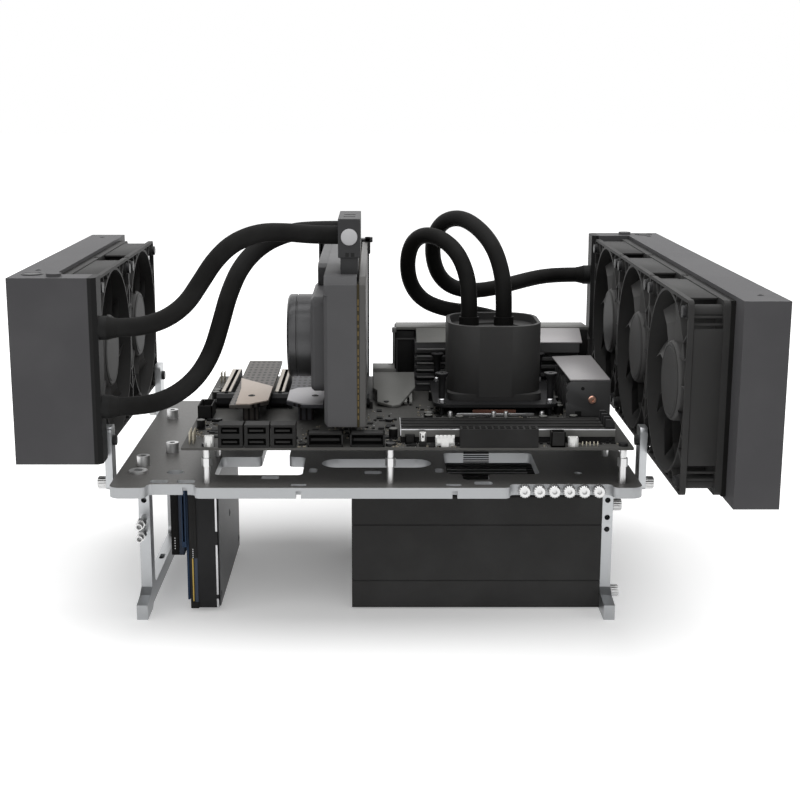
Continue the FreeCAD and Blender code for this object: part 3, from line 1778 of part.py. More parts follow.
def make_cooler_bracket():
    body = new_body("cooler_bracket")
    face = sketch_on(body, "XY_Plane", cooler_bracket_bottom)
    side = s.cooler_bracket_side
    soft_rectangle(
        face, s.cpu_x - side / 2, s.cpu_y - side / 2, side, side, s.cooler_bracket_corner
    )
    room = s.cold_plate_side + s.seat_gap * 2
    rectangle(face, s.cpu_x - room / 2, s.cpu_y - room / 2, room, room)
    for x, y in cooler_posts:
        circle(face, x, y, s.cooler_screw_radius + s.screw_clearance)
    pad(body, face, s.cooler_bracket_thick)


def make_cooler_screw(x, y):
    """A spring screw: a spring on the bracket, a thumb head and a shank to the board."""
    bracket_top = cooler_bracket_bottom + s.cooler_bracket_thick
    head_bottom = board_top + s.cooler_screw_top - s.cooler_screw_head_tall
    shank = rod(x, y, board_top, s.cooler_screw_radius, s.cooler_screw_top - 1)
    spring = rod(x, y, bracket_top, s.cooler_spring_radius, head_bottom - bracket_top)
    head = rod(x, y, head_bottom, s.cooler_screw_head_radius, s.cooler_screw_head_tall)
    return fuse(shank, spring, head)


make_cooler_bracket()
node("cooler_screws", separate(*[make_cooler_screw(x, y) for x, y in cooler_posts]))


def make_pump():
    """A squared round block with a thin rim round a sunk top."""
    body = new_body("pump_housing")
    side = s.pump_side
    face = sketch_on(body, "XY_Plane", pump_bottom)
    soft_rectangle(face, s.cpu_x - side / 2, s.cpu_y - side / 2, side, side, s.pump_corner)
    pad(body, face, s.pump_tall)
    inner = side - s.pump_rim * 2
    sink = sketch_on(body, "XY_Plane", pump_top - s.pump_recess_deep)
    soft_rectangle(
        sink, s.cpu_x - inner / 2, s.cpu_y - inner / 2, inner, inner, s.pump_corner - s.pump_rim
    )
    pocket(body, sink, s.pump_recess_deep)
    disc = sketch_on(body, "XY_Plane", pump_top - s.pump_recess_deep - s.pump_disc_deep)
    circle(disc, s.cpu_x, s.cpu_y, s.pump_disc_radius)
    pocket(body, disc, s.pump_disc_deep)


make_pump()
fitting_bottom = pump_top - s.pump_recess_deep
fitting_top = fitting_bottom + s.fitting_tall
fitting_places = [
    (s.cpu_x + s.fitting_x - s.fitting_spread / 2, s.cpu_y + s.fitting_y),
    (s.cpu_x + s.fitting_x + s.fitting_spread / 2, s.cpu_y + s.fitting_y),
]
node(
    "pump_fittings",
    separate(*[rod(x, y, fitting_bottom, s.fitting_radius, s.fitting_tall) for x, y in fitting_places]),
)


# Graphics card, standing in the slot nearest the processor

card_board_left = s.card_slot_x - s.card_board_thick / 2
card_board_right = s.card_slot_x + s.card_board_thick / 2
card_top = s.card_bottom + s.card_tall
card_back = s.card_front + s.card_long
shroud_left = card_board_left - s.shroud_thick
card_block_left = shroud_left - s.card_block_thick
puck_y = s.card_block_front + s.card_block_long / 2


def make_card_board():
    body = new_body("graphics_board")
    face = sketch_on(body, "YZ_Plane", card_board_left)
    tab_front = s.slot_front + s.slot_end_wall + s.card_tab_end_gap
    tab_back = s.slot_front + s.slot_long - s.slot_end_wall - s.card_tab_end_gap
    tab_bottom = s.card_bottom - s.card_tab_tall
    outline(
        face,
        [
            (s.card_front, s.card_bottom),
            (tab_front, s.card_bottom),
            (tab_front, tab_bottom),
            (tab_back, tab_bottom),
            (tab_back, s.card_bottom),
            (card_back, s.card_bottom),
            (card_back, card_top),
            (s.card_front, card_top),
        ],
    )
    pad(body, face, s.card_board_thick)


def make_shroud():
    """The card's metal cover: closed all round, open towards its board."""
    long = s.card_long - s.shroud_back_gap
    shell = box(shroud_left, s.card_front, s.card_bottom, s.shroud_thick, long, s.card_tall)
    outer = float(shroud_left) + 0.1
    shell = bevelled(shell, s.shroud_chamfer, (0, 0, 1), lambda middle: middle.x < outer)
    shell = bevelled(shell, s.shroud_chamfer, (0, 1, 0), lambda middle: middle.x < outer)
    hollow = box(
        shroud_left + s.shroud_wall + s.shroud_chamfer,
        s.card_front + s.shroud_wall,
        s.card_bottom + s.shroud_wall,
        s.shroud_thick,
        long - s.shroud_wall * 2,
        s.card_tall - s.shroud_wall * 2,
    )
    node("graphics_shroud", cut(shell, hollow))


def make_card_block():
    """The raised cold block and the round pump on it."""
    block = box(
        card_block_left,
        s.card_block_front,
        s.card_block_bottom,
        s.card_block_thick,
        s.card_block_long,
        s.card_block_tall,
    )
    outer = float(card_block_left) + 0.1
    corner_z = (float(s.card_block_bottom) + 0.1, float(s.card_block_bottom + s.card_block_tall) - 0.1)
    block = rounded(
        block, s.card_block_corner, (1, 0, 0), lambda middle: not corner_z[0] < middle.z < corner_z[1]
    )
    block = bevelled(block, s.shroud_wall, (0, 1, 0), lambda middle: middle.x < outer)
    node("graphics_cold_block", block)
    puck = rod(card_block_left - s.puck_long, puck_y, s.puck_height, s.puck_radius, s.puck_long, "x")
    rings = []
    for share in (0.3, 0.55):
        start = card_block_left - s.puck_long * share
        band = rod(start, puck_y, s.puck_height, s.puck_radius + 1, s.puck_groove_wide, "x")
        core = rod(
            start, puck_y, s.puck_height, s.puck_radius - s.puck_groove_deep, s.puck_groove_wide, "x"
        )
        rings.append(cut(band, core))
    dish = rod(
        card_block_left - s.puck_long,
        puck_y,
        s.puck_height,
        s.puck_radius * 0.72,
        s.puck_groove_deep,
        "x",
    )
    node("graphics_pump", cut(puck, *rings, dish))


def make_card_bracket():
    """The steel bracket at the back, with its top bent outwards."""
    back = board_back + s.bracket_plate_gap
    plate = box(
        s.bracket_plate_x,
        back,
        s.bracket_plate_bottom,
        s.bracket_plate_wide,
        s.bracket_plate_thick,
        s.bracket_plate_tall,
    )
    flange = box(
        s.bracket_plate_x,
        back,
        s.bracket_plate_bottom + s.bracket_plate_tall - s.bracket_plate_thick,
        s.bracket_plate_wide,
        s.bracket_flange,
        s.bracket_plate_thick,
    )
    notch = rod(
        s.bracket_plate_x + s.bracket_plate_wide * 0.25,
        back + s.bracket_flange,
        s.bracket_plate_bottom + s.bracket_plate_tall - s.bracket_plate_thick * 2,
        s.fan_hole_radius,
        s.bracket_plate_thick * 3,
    )
    slots = []
    for index in range(6):
        slots.append(
            box(
                s.bracket_plate_x + s.bracket_plate_wide * (0.12 + 0.13 * index),
                back - 1,
                s.bracket_plate_bottom + s.bracket_plate_tall * 0.3,
                s.bracket_plate_wide * 0.06,
                s.bracket_plate_thick + 2,
                s.bracket_plate_tall * 0.5,
            )
        )
    arm = box(
        card_board_left - s.shroud_wall * 2,
        card_back - s.shroud_back_gap,
        s.card_bottom + s.card_tall * 0.9,
        s.shroud_wall * 2,
        back - card_back + s.shroud_back_gap,
        s.card_tall * 0.06,
    )
    node("graphics_bracket", fuse(cut(plate, notch, *slots), cut(flange, notch), arm))


def make_terminal():
    """The block that the card's two hoses run into, on a narrower neck."""
    neck_top = card_top + s.terminal_neck_tall
    neck = box(
        s.terminal_x + s.terminal_neck_inset,
        s.terminal_front + s.terminal_neck_inset,
        card_top,
        s.terminal_wide - s.terminal_neck_inset * 2,
        s.terminal_long - s.terminal_neck_inset * 2,
        s.terminal_neck_tall,
    )
    head = box(
        s.terminal_x, s.terminal_front, neck_top, s.terminal_wide, s.terminal_long, s.terminal_tall
    )
    marks = [
        box(
            s.terminal_x + s.terminal_wide * 0.25,
            s.terminal_front + s.terminal_long * share,
            neck_top + s.terminal_tall - 1,
            s.terminal_wide * 0.5,
            s.terminal_long * 0.06,
            1,
        )
        for share in (0.25, 0.5)
    ]
    plug = rod(
        s.terminal_x + s.terminal_wide / 2,
        s.terminal_front,
        s.terminal_port_height,
        s.terminal_plug_radius,
        s.terminal_plug_long,
        "-y",
    )
    node("graphics_terminal", separate(fuse(cut(head, *marks), neck), plug))


make_card_board()
make_shroud()
node(
    "graphics_backplate",
    box(
        card_board_right,
        s.card_front,
        s.card_bottom,
        s.card_backplate_thick,
        s.card_long - s.shroud_back_gap,
        s.card_tall,
    ),
)
make_card_block()
make_card_bracket()
make_terminal()


# Power supply


def make_supply():
    body_box = box(
        supply_left, s.supply_front, supply_bottom, s.supply_long, s.supply_deep, s.supply_tall
    )
    case = rounded(body_box, s.supply_corner, (1, 0, 0))
    top = supply_bottom + s.supply_tall
    middle_y = s.supply_front + s.supply_deep / 2
    well_bottom = top - s.supply_well_deep
    tools = []
    for height in (s.supply_lower_seam, s.supply_upper_seam):
        low = supply_bottom + height
        for y in (s.supply_front, s.supply_front + s.supply_deep - s.supply_seam_deep):
            tools.append(box(supply_left, y, low, s.supply_long, s.supply_seam_deep, s.supply_seam_wide))
    well = rod(s.supply_well_x, middle_y, well_bottom, s.supply_well_radius, s.supply_well_deep)
    slats = []
    pitch = s.supply_slat_wide + s.supply_slat_gap
    count = int(2 * float(s.supply_well_radius) / float(pitch)) + 1
    for index in range(count):
        y = middle_y + (index - (count - 1) / 2) * pitch - s.supply_slat_wide / 2
        slats.append(
            box(
                s.supply_well_x - s.supply_well_radius - 1,
                y,
                top - s.supply_slat_thick,
                s.supply_well_radius * 2 + 2,
                s.supply_slat_wide,
                s.supply_slat_thick,
            )
        )
    well = cut(well, *slats)
    post = rod(s.supply_well_x, middle_y, well_bottom, s.supply_hub_radius * 0.8, s.supply_rotor_gap)
    bearing_radius = s.fan_shaft_radius + s.fan_shaft_clearance
    bearing = rod(s.supply_well_x, middle_y, well_bottom - 2, bearing_radius, s.supply_rotor_gap + 2)
    for y, z in supply_screws:
        reach = s.supply_screw_long - s.leg_thick + 1
        tools.append(rod(leg_inside - reach, y, z, thumb_hole_radius, reach, "x"))
    inlet_low = supply_bottom + s.inlet_height - s.inlet_tall / 2
    tools.append(
        box(
            leg_inside - s.inlet_deep - 1,
            s.inlet_y - s.inlet_wide / 2,
            inlet_low,
            s.inlet_deep + 1,
            s.inlet_wide,
            s.inlet_tall,
        )
    )
    tools.append(
        box(
            leg_inside - s.switch_deep - 3,
            s.switch_y - s.switch_wide / 2,
            supply_bottom + s.inlet_height - s.switch_tall / 2,
            s.switch_deep + 3,
            s.switch_wide,
            s.switch_tall,
        )
    )
    vents = []
    for index in range(8):
        vents.append(
            box(
                leg_inside - 3,
                s.supply_front + 24 + index * 13,
                supply_bottom + 52,
                3,
                8,
                26,
            )
        )
    hollowed = cut(case, well, *tools, *vents)
    node("supply_case", cut(fuse(hollowed, post), bearing))


def make_supply_rotor():
    top = supply_bottom + s.supply_tall
    well_bottom = top - s.supply_well_deep
    shape = make_rotor_shape(
        float(s.supply_hub_radius),
        float(s.supply_hub_long),
        float(s.fan_hub_round),
        math.sqrt(float(s.supply_rotor_radius) ** 2 - 14.0 ** 2),
        float(s.fan_shaft_radius),
        float(s.supply_rotor_gap) + 1.4,
        int(float(s.supply_blades)),
        float(s.supply_hub_long) / 2,
    )
    item = solid_of("supply_fan_rotor", shape)
    turn = FreeCAD.Rotation(FreeCAD.Vector(1, 0, 0), 180)
    item.Placement = FreeCAD.Placement(FreeCAD.Vector(), turn)
    item.setExpression("Placement.Base.x", s.supply_well_x.formula)
    item.setExpression("Placement.Base.y", (s.supply_front + s.supply_deep / 2).formula)
    height = well_bottom + s.supply_rotor_gap + s.supply_hub_long + 0.4
    item.setExpression("Placement.Base.z", height.formula)


def make_inlet():
    """The mains inlet: a moulded cup with three blades inside."""
    low = supply_bottom + s.inlet_height - s.inlet_tall / 2
    left = leg_inside - s.inlet_deep
    gap = s.seat_gap
    cup = box(
        left,
        s.inlet_y - s.inlet_wide / 2 + gap,
        low + gap,
        s.inlet_deep + s.inlet_proud,
        s.inlet_wide - gap * 2,
        s.inlet_tall - gap * 2,
    )
    room = box(
        left + s.inlet_wall,
        s.inlet_y - s.inlet_wide / 2 + s.inlet_wall + gap,
        low + s.inlet_wall + gap,
        s.inlet_deep + s.inlet_proud,
        s.inlet_wide - s.inlet_wall * 2 - gap * 2,
        s.inlet_tall - s.inlet_wall * 2 - gap * 2,
    )
    blades = []
    for shift, rise in ((-7.0, -2.0), (0.0, 4.0), (7.0, -2.0)):
        blades.append(
            box(left + 1, s.inlet_y + shift - 1.0, low + s.inlet_tall / 2 + rise - 2.5, s.inlet_deep - 3, 2.0, 5.0)
        )
    node("supply_inlet", fuse(cut(cup, room), *blades))


switch_axis_x = leg_inside - s.switch_deep * 0.55
switch_axis_z = supply_bottom + s.inlet_height


def make_switch():
    """A rocker on a cross pin, tipped to one side at rest."""
    wide = s.switch_wide - s.switch_clearance * 2
    half = float(s.switch_tall) / 2 - float(s.switch_clearance) - 1.2
    reach = float(s.switch_deep) * 0.55
    points = [(-4.0, -half * 0.6), (reach - 0.6, -half), (reach - 1.8, 0.0), (reach - 0.6, half), (-4.0, half * 0.6)]
    profile = Part.makePolygon([FreeCAD.Vector(x, 0, z) for x, z in points + points[:1]])
    rocker = Part.Face(profile).extrude(FreeCAD.Vector(0, float(wide), 0))
    pin = Part.makeCylinder(1.2, float(wide) + 0.6, FreeCAD.Vector(0, -0.3, 0), FreeCAD.Vector(0, 1, 0))
    rocker = rocker.fuse(pin).removeSplitter()
    rocker.rotate(FreeCAD.Vector(), FreeCAD.Vector(0, 1, 0), float(s.switch_angle))
    item = solid_of("supply_switch", rocker)
    item.setExpression("Placement.Base.x", switch_axis_x.formula)
    item.setExpression("Placement.Base.y", (s.switch_y - wide / 2).formula)
    item.setExpression("Placement.Base.z", switch_axis_z.formula)


make_supply()
make_supply_rotor()
make_inlet()
make_switch()


# Drives under the plate


def make_hard_drive():
    low = s.leg_tall - s.disk_tall
    case = box(s.disk_x, s.disk_front, low, s.disk_wide, s.disk_long, s.disk_tall)
    case = rounded(case, s.disk_corner, (1, 0, 0))
    lid = box(
        s.disk_x + s.disk_wide - 0.1,
        s.disk_front + s.disk_cover_inset,
        low + s.disk_cover_inset,
        s.disk_cover_proud + 0.1,
        s.disk_long - s.disk_cover_inset * 2,
        s.disk_tall - s.disk_cover_inset * 2,
    )
    lid = rounded(lid, s.disk_cover_inset * 2, (1, 0, 0))
    node("hard_drive", fuse(case, lid))
    board_low = low + s.disk_tall * 0.06
    board = box(
        s.disk_x - s.disk_board_thick - s.disk_board_gap,
        s.disk_front + 2,
        board_low,
        s.disk_board_thick,
        s.disk_long * 0.72,
        s.disk_tall * 0.88,
    )
    feet = [
        box(
            s.disk_x - s.disk_board_gap - s.disk_board_thick * 0.5,
            s.disk_front + s.disk_long * share,
            board_low + s.disk_tall * rise,
            s.disk_board_gap + s.disk_board_thick * 0.5,
            4,
            4,
        )
        for share in (0.05, 0.6)
        for rise in (0.05, 0.75)
    ]
    socket = box(
        s.disk_x - s.disk_board_thick - s.disk_board_gap - 3,
        s.disk_front,
        low + s.disk_tall * 0.46,
        3.2,
        s.disk_connector_long,
        s.disk_tall * 0.42,
    )
    slot = box(
        s.disk_x - s.disk_board_thick - s.disk_board_gap - 2.2,
        s.disk_front - 1,
        low + s.disk_tall * 0.5,
        1.4,
        s.disk_connector_long * 0.7,
        s.disk_tall * 0.34,
    )
    node("hard_drive_board", fuse(board, *feet, cut(socket, slot)))


def make_solid_drive():
    low = s.leg_tall - s.ssd_tall
    case = box(s.ssd_x, s.ssd_front, low, s.ssd_wide, s.ssd_long, s.ssd_tall)
    case = rounded(case, s.ssd_corner, (1, 0, 0))
    mouth = box(
        s.ssd_x + s.ssd_wide * 0.12,
        s.ssd_front - 1,
        low + s.ssd_tall * 0.12,
        s.ssd_wide * 0.45,
        6,
        s.ssd_tall * 0.6,
    )
    tongue = box(
        s.ssd_x + s.ssd_wide * 0.25,
        s.ssd_front + 0.6,
        low + s.ssd_tall * 0.15,
        s.ssd_wide * 0.14,
        6,
        s.ssd_tall * 0.54,
    )
    node("solid_drive", cut(case, cut(mouth, tongue)))


make_hard_drive()
make_solid_drive()


# Hoses: straight runs joined by tangent arcs, each point chosen along the real route


def hose_shape(name, route):
    """A round tube whose arcs are as large as the two runs beside them allow."""
    points = [FreeCAD.Vector(*point) for point in route]
    edges = []
    here = points[0]
    radii = []
    for before, corner, after in zip(points, points[1:], points[2:]):
        inward, outward = corner - before, after - corner
        turn = inward.getAngle(outward)
        shorter = min(inward.Length, outward.Length)
        radius = 0.45 * shorter / math.tan(turn / 2)
        radii.append(radius)
        back = 0.45 * shorter
        start = corner - FreeCAD.Vector(inward).normalize() * back
        end = corner + FreeCAD.Vector(outward).normalize() * back
        to_middle = (start + end) * 0.5 - corner
        sag = radius / math.cos(turn / 2) - radius
        middle = corner + FreeCAD.Vector(to_middle).normalize() * sag
        edges.append(Part.LineSegment(here, start).toShape())
        edges.append(Part.Arc(start, middle, end).toShape())
        here = end
    edges.append(Part.LineSegment(here, points[-1]).toShape())
    path = Part.Wire(edges)
    first = points[1] - points[0]
    ring = Part.Wire(Part.makeCircle(float(s.hose_radius), points[0], first))
    tube = path.makePipeShell([ring], True, False)
    section = math.pi * float(s.hose_radius) ** 2
    print(f"{name}: length {path.Length:.1f}, radii {[round(radius) for radius in radii]}")
    print(f"{name}: volume {tube.Volume:.0f}, section times length {section * path.Length:.0f}")
    return tube


port_end = float(tank_inside - s.port_long)
left_port_y = float(left_radiator_front + s.left_front_tank / 2)
right_port_y = float(right_radiator_front + right_radiator_long - s.right_far_tank / 2)
terminal_left = float(s.terminal_x)
terminal_z = float(s.terminal_port_height)
high, low = float(s.port_high), float(s.port_low)
front_fitting = (float(fitting_places[0][0]), float(fitting_places[0][1]), float(fitting_top))
rear_fitting = (float(fitting_places[1][0]), float(fitting_places[1][1]), float(fitting_top))

HOSES = {
    "graphics_hose_upper": [
        (-port_end, left_port_y, high),
        (-160, left_port_y, high),
        (-141, -87, 224),
        (-126, -83.5, 234),
        (-116, -78.5, 249),
        (-107, -73, 263),
        (-95, -66.5, 274),
        (-78, -59.5, 280),
        (-59, -54.5, 279.5),
        (-42, float(s.terminal_front_port), terminal_z),
        (terminal_left, float(s.terminal_front_port), terminal_z),
    ],
    "graphics_hose_lower": [
        (-port_end, left_port_y, low),
        (-158, left_port_y, low),
        (-138, -84, 171),
        (-122, -76.5, 182),
        (-111.5, -67, 198),
        (-106, -57, 217),
        (-101, -46, 237),
        (-93, -35, 255),
        (-79, -25.5, 268.5),
        (-61, -18.5, 276),
        (-43, float(s.terminal_rear_port), terminal_z),
        (terminal_left, float(s.terminal_rear_port), terminal_z),
    ],
    "processor_hose_front": [
        front_fitting,
        (front_fitting[0], front_fitting[1], 221),
        (69, 61, 238),
        (62, 71, 253),
        (50, 85, 262),
        (37, 101, 263),
        (28, 114, 254),
        (25, 124, 237),
        (28, 133, 219),
        (38, 141, 205),
        (54, 148, 197),
        (73, 157, 193),
        (94, 167, 188),
        (115, 177, 180),
        (137, 185, 171.5),
        (158, right_port_y, low),
        (port_end, right_port_y, low),
    ],
    "processor_hose_rear": [
        rear_fitting,
        (rear_fitting[0], rear_fitting[1], 221),
        (96, 61, 239),
        (90, 71, 257),
        (79, 85, 270),
        (66, 100, 276.5),
        (53, 114, 272),
        (46, 124, 258),
        (46, 132, 240),
        (52, 139, 224),
        (64, 146, 214),
        (81, 154, 210.5),
        (101, 163, 212),
        (121, 173, 216),
        (140, 183, 219),
        (159, right_port_y, high),
        (port_end, right_port_y, high),
    ],
}

for name, route in HOSES.items():
    solid_of(name, hose_shape(name, route))


# Check every object, then write one file for each sub-part

doc.recompute()
problems = []
for item in doc.Objects:
    if "Invalid" in item.State or "Error" in item.State:
        problems.append(f"{item.Label}: {item.State}")
for name, item in NODES.items():
    shape = item.Shape
    if shape.isNull() or not shape.isValid() or not shape.Solids:
        problems.append(f"{name}: bad shape")
if problems:
    raise RuntimeError("\n".join(problems))

os.makedirs("parts", exist_ok=True)
for name, item in NODES.items():
    item.Shape.exportStep(f"parts/{name}.step")
whole = FreeCAD.BoundBox()
for item in NODES.values():
    whole.add(item.Shape.BoundBox)
print(f"{len(NODES)} sub-parts, {whole}")
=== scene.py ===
# %% [markdown]
# The bench is already a imported CAD part, so Blender only dresses it. Every
# CAD node stays where it is and gets a finish, and small parts that the solids
# leave out are built around it. The first cell loads the part and gives a helper
# that measures a node's box.

import math
import random

import bmesh
import bpy
from mathutils import Matrix, Vector


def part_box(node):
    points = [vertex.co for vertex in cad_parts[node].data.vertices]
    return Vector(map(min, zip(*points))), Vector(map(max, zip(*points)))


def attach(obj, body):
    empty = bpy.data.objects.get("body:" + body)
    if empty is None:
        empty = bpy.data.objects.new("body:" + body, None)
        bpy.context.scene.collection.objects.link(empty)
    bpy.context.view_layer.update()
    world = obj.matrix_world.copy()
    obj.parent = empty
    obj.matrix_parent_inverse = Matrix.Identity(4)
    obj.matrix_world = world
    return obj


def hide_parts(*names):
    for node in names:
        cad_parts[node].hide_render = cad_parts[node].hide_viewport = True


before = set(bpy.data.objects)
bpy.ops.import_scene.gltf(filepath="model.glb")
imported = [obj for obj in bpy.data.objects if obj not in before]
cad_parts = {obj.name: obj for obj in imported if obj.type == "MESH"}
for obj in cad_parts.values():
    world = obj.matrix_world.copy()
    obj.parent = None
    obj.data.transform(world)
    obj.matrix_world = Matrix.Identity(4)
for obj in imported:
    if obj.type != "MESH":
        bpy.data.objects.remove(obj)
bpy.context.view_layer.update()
MM = 0.001
BENCH = "bench"
scene = bpy.context.scene

# %% [markdown]
# The camera stands a metre in front of the bench and looks slightly down. It
# could be aimed with a constraint, but plain numbers stay put in every view.
# The small shift moves the picture sideways without turning the camera.

# %% Camera
CAMERA_PLACE = (0.0, -1.0019, 0.3715)
CAMERA_DOWN = 12.38
lens_data = bpy.data.cameras.new("bench_camera")
lens_data.lens = 63.0
lens_data.sensor_width = 36.0
lens_data.shift_x = 0.03025
lens_data.clip_start = 0.05
camera = bpy.data.objects.new("bench_camera", lens_data)
camera.location = CAMERA_PLACE
camera.rotation_euler = (math.radians(90 - CAMERA_DOWN), 0, 0)
scene.collection.objects.link(camera)
scene.camera = camera

# %% [markdown]
# A finish is a Principled shader fed by a shared group. The group is built once
# and gives a slightly uneven colour, an uneven roughness and a fine bump, which
# is what separates real paint, plastic and metal from a flat colour.

# %% Shared surface group


def socket(tree, name, way, kind, value=None):
    """Add one named input or output to a shader group."""
    item = tree.interface.new_socket(name=name, in_out=way, socket_type=kind)
    if value is not None:
        item.default_value = value
    return item


def make_surface_group():
    """Uneven colour, roughness and bump from two layers of noise."""
    tree = bpy.data.node_groups.new("fine_surface", "ShaderNodeTree")
    socket(tree, "Colour", "INPUT", "NodeSocketColor", (0.5, 0.5, 0.5, 1))
    socket(tree, "Worn Colour", "INPUT", "NodeSocketColor", (0.6, 0.6, 0.6, 1))
    socket(tree, "Wear", "INPUT", "NodeSocketFloat", 0.2)
    socket(tree, "Roughness", "INPUT", "NodeSocketFloat", 0.5)
    socket(tree, "Roughness Spread", "INPUT", "NodeSocketFloat", 0.1)
    socket(tree, "Scale", "INPUT", "NodeSocketFloat", 900.0)
    socket(tree, "Bump", "INPUT", "NodeSocketFloat", 0.1)
    socket(tree, "Stretch", "INPUT", "NodeSocketVector", (1, 1, 1))
    socket(tree, "Colour", "OUTPUT", "NodeSocketColor")
    socket(tree, "Roughness", "OUTPUT", "NodeSocketFloat")
    socket(tree, "Normal", "OUTPUT", "NodeSocketVector")
    nodes, links = tree.nodes, tree.links
    given = nodes.new("NodeGroupInput")
    result = nodes.new("NodeGroupOutput")
    place = nodes.new("ShaderNodeTexCoord")
    stretch = nodes.new("ShaderNodeVectorMath")
    stretch.operation = "MULTIPLY"
    links.new(place.outputs["Object"], stretch.inputs[0])
    links.new(given.outputs["Stretch"], stretch.inputs[1])
    fine = nodes.new("ShaderNodeTexNoise")
    fine.inputs["Detail"].default_value = 3.0
    links.new(stretch.outputs[0], fine.inputs["Vector"])
    links.new(given.outputs["Scale"], fine.inputs["Scale"])
    broad = nodes.new("ShaderNodeTexNoise")
    broad.inputs["Scale"].default_value = 22.0
    broad.inputs["Detail"].default_value = 4.0
    links.new(place.outputs["Object"], broad.inputs["Vector"])
    mask = nodes.new("ShaderNodeMapRange")
    mask.inputs["From Min"].default_value = 0.42
    mask.inputs["From Max"].default_value = 0.68
    links.new(broad.outputs["Fac"], mask.inputs["Value"])
    amount = nodes.new("ShaderNodeMath")
    amount.operation = "MULTIPLY"
    links.new(mask.outputs["Result"], amount.inputs[0])
    links.new(given.outputs["Wear"], amount.inputs[1])
    blend = nodes.new("ShaderNodeMix")
    blend.data_type = "RGBA"
    links.new(amount.outputs[0], blend.inputs["Factor"])
    links.new(given.outputs["Colour"], blend.inputs["A"])
    links.new(given.outputs["Worn Colour"], blend.inputs["B"])
    links.new(blend.outputs["Result"], result.inputs["Colour"])
    centred = nodes.new("ShaderNodeMath")
    centred.operation = "SUBTRACT"
    centred.inputs[1].default_value = 0.5
    links.new(fine.outputs["Fac"], centred.inputs[0])
    spread = nodes.new("ShaderNodeMath")
    spread.operation = "MULTIPLY_ADD"
    links.new(centred.outputs[0], spread.inputs[0])
    links.new(given.outputs["Roughness Spread"], spread.inputs[1])
    links.new(given.outputs["Roughness"], spread.inputs[2])
    links.new(spread.outputs[0], result.inputs["Roughness"])
    bump = nodes.new("ShaderNodeBump")
    bump.inputs["Distance"].default_value = 0.0002
    links.new(given.outputs["Bump"], bump.inputs["Strength"])
    links.new(fine.outputs["Fac"], bump.inputs["Height"])
    links.new(bump.outputs["Normal"], result.inputs["Normal"])
    return tree


FINE_SURFACE = make_surface_group()


def mix_of(colour, share, other):
    """A colour part of the way to another one."""
    return tuple(a + (b - a) * share for a, b in zip(colour, other))


def finish(name, colour, roughness, metallic=0.0, worn=None, wear=0.35, spread=0.15, scale=900.0, bump=0.15,
           stretch=(1, 1, 1), specular=0.5):
    """A Principled material fed by the shared surface group."""
    material = bpy.data.materials.new(name)
    material.use_nodes = True
    nodes, links = material.node_tree.nodes, material.node_tree.links
    shader = nodes["Principled BSDF"]
    group = nodes.new("ShaderNodeGroup")
    group.name = "surface"
    group.node_tree = FINE_SURFACE
    worn = worn or mix_of(colour, 0.03, (1, 1, 1))
    group.inputs["Colour"].default_value = (*colour, 1)
    group.inputs["Worn Colour"].default_value = (*worn, 1)
    group.inputs["Wear"].default_value = wear
    group.inputs["Roughness"].default_value = roughness
    group.inputs["Roughness Spread"].default_value = spread
    group.inputs["Scale"].default_value = scale
    group.inputs["Bump"].default_value = bump
    group.inputs["Stretch"].default_value = stretch
    links.new(group.outputs["Colour"], shader.inputs["Base Color"])
    links.new(group.outputs["Roughness"], shader.inputs["Roughness"])
    links.new(group.outputs["Normal"], shader.inputs["Normal"])
    shader.inputs["Metallic"].default_value = metallic
    shader.inputs["Specular IOR Level"].default_value = specular
    return material


# %% [markdown]
# Some finishes change over one piece. The plate is anodised dark on its faces
# and bright where it was cut, so a mask from the surface's direction picks the
# colour. Masks are made inside each material and only feed its colour.

# %% Masks inside a material


def mask_node(material, build):
    """Mix a second colour into a finish where a mask says so."""
    nodes, links = material.node_tree.nodes, material.node_tree.links
    shader, group = nodes["Principled BSDF"], nodes["surface"]
    blend = nodes.new("ShaderNodeMix")
    blend.data_type = "RGBA"
    old = shader.inputs["Base Color"].links[0].from_socket
    links.new(old, blend.inputs["A"])
    colour = build(nodes, links, blend)
    blend.inputs["B"].default_value = (*colour, 1)
    links.new(blend.outputs["Result"], shader.inputs["Base Color"])
    return group


def part_of_axis(nodes, links, source, axis, low, high):
    """A mask that rises from 0 to 1 between two values on one axis."""
    split = nodes.new("ShaderNodeSeparateXYZ")
    links.new(source, split.inputs[0])
    ramp = nodes.new("ShaderNodeMapRange")
    ramp.inputs["From Min"].default_value = low
    ramp.inputs["From Max"].default_value = high
    links.new(split.outputs[axis], ramp.inputs["Value"])
    return ramp.outputs["Result"]


def flat_faces_mask(colour):
    """The colour of the faces that look straight up or down."""

    def build(nodes, links, blend):
        place = nodes.new("ShaderNodeTexCoord")
        size = nodes.new("ShaderNodeVectorMath")
        size.operation = "ABSOLUTE"
        links.new(place.outputs["Normal"], size.inputs[0])
        mask = part_of_axis(nodes, links, size.outputs[0], "Z", 0.9, 0.97)
        links.new(mask, blend.inputs["Factor"])
        return colour

    return build


def beyond_mask(colour, axis, low, high):
    """The colour of what lies past a place on one axis."""

    def build(nodes, links, blend):
        place = nodes.new("ShaderNodeTexCoord")
        mask = part_of_axis(nodes, links, place.outputs["Object"], axis, low, high)
        links.new(mask, blend.inputs["Factor"])
        return colour

    return build


def within_mask(colour, axis, low, high):
    """The colour of what lies within a distance of the middle plane."""

    def build(nodes, links, blend):
        place = nodes.new("ShaderNodeTexCoord")
        size = nodes.new("ShaderNodeVectorMath")
        size.operation = "ABSOLUTE"
        links.new(place.outputs["Object"], size.inputs[0])
        mask = part_of_axis(nodes, links, size.outputs[0], axis, low, high)
        links.new(mask, blend.inputs["Factor"])
        return colour

    return build


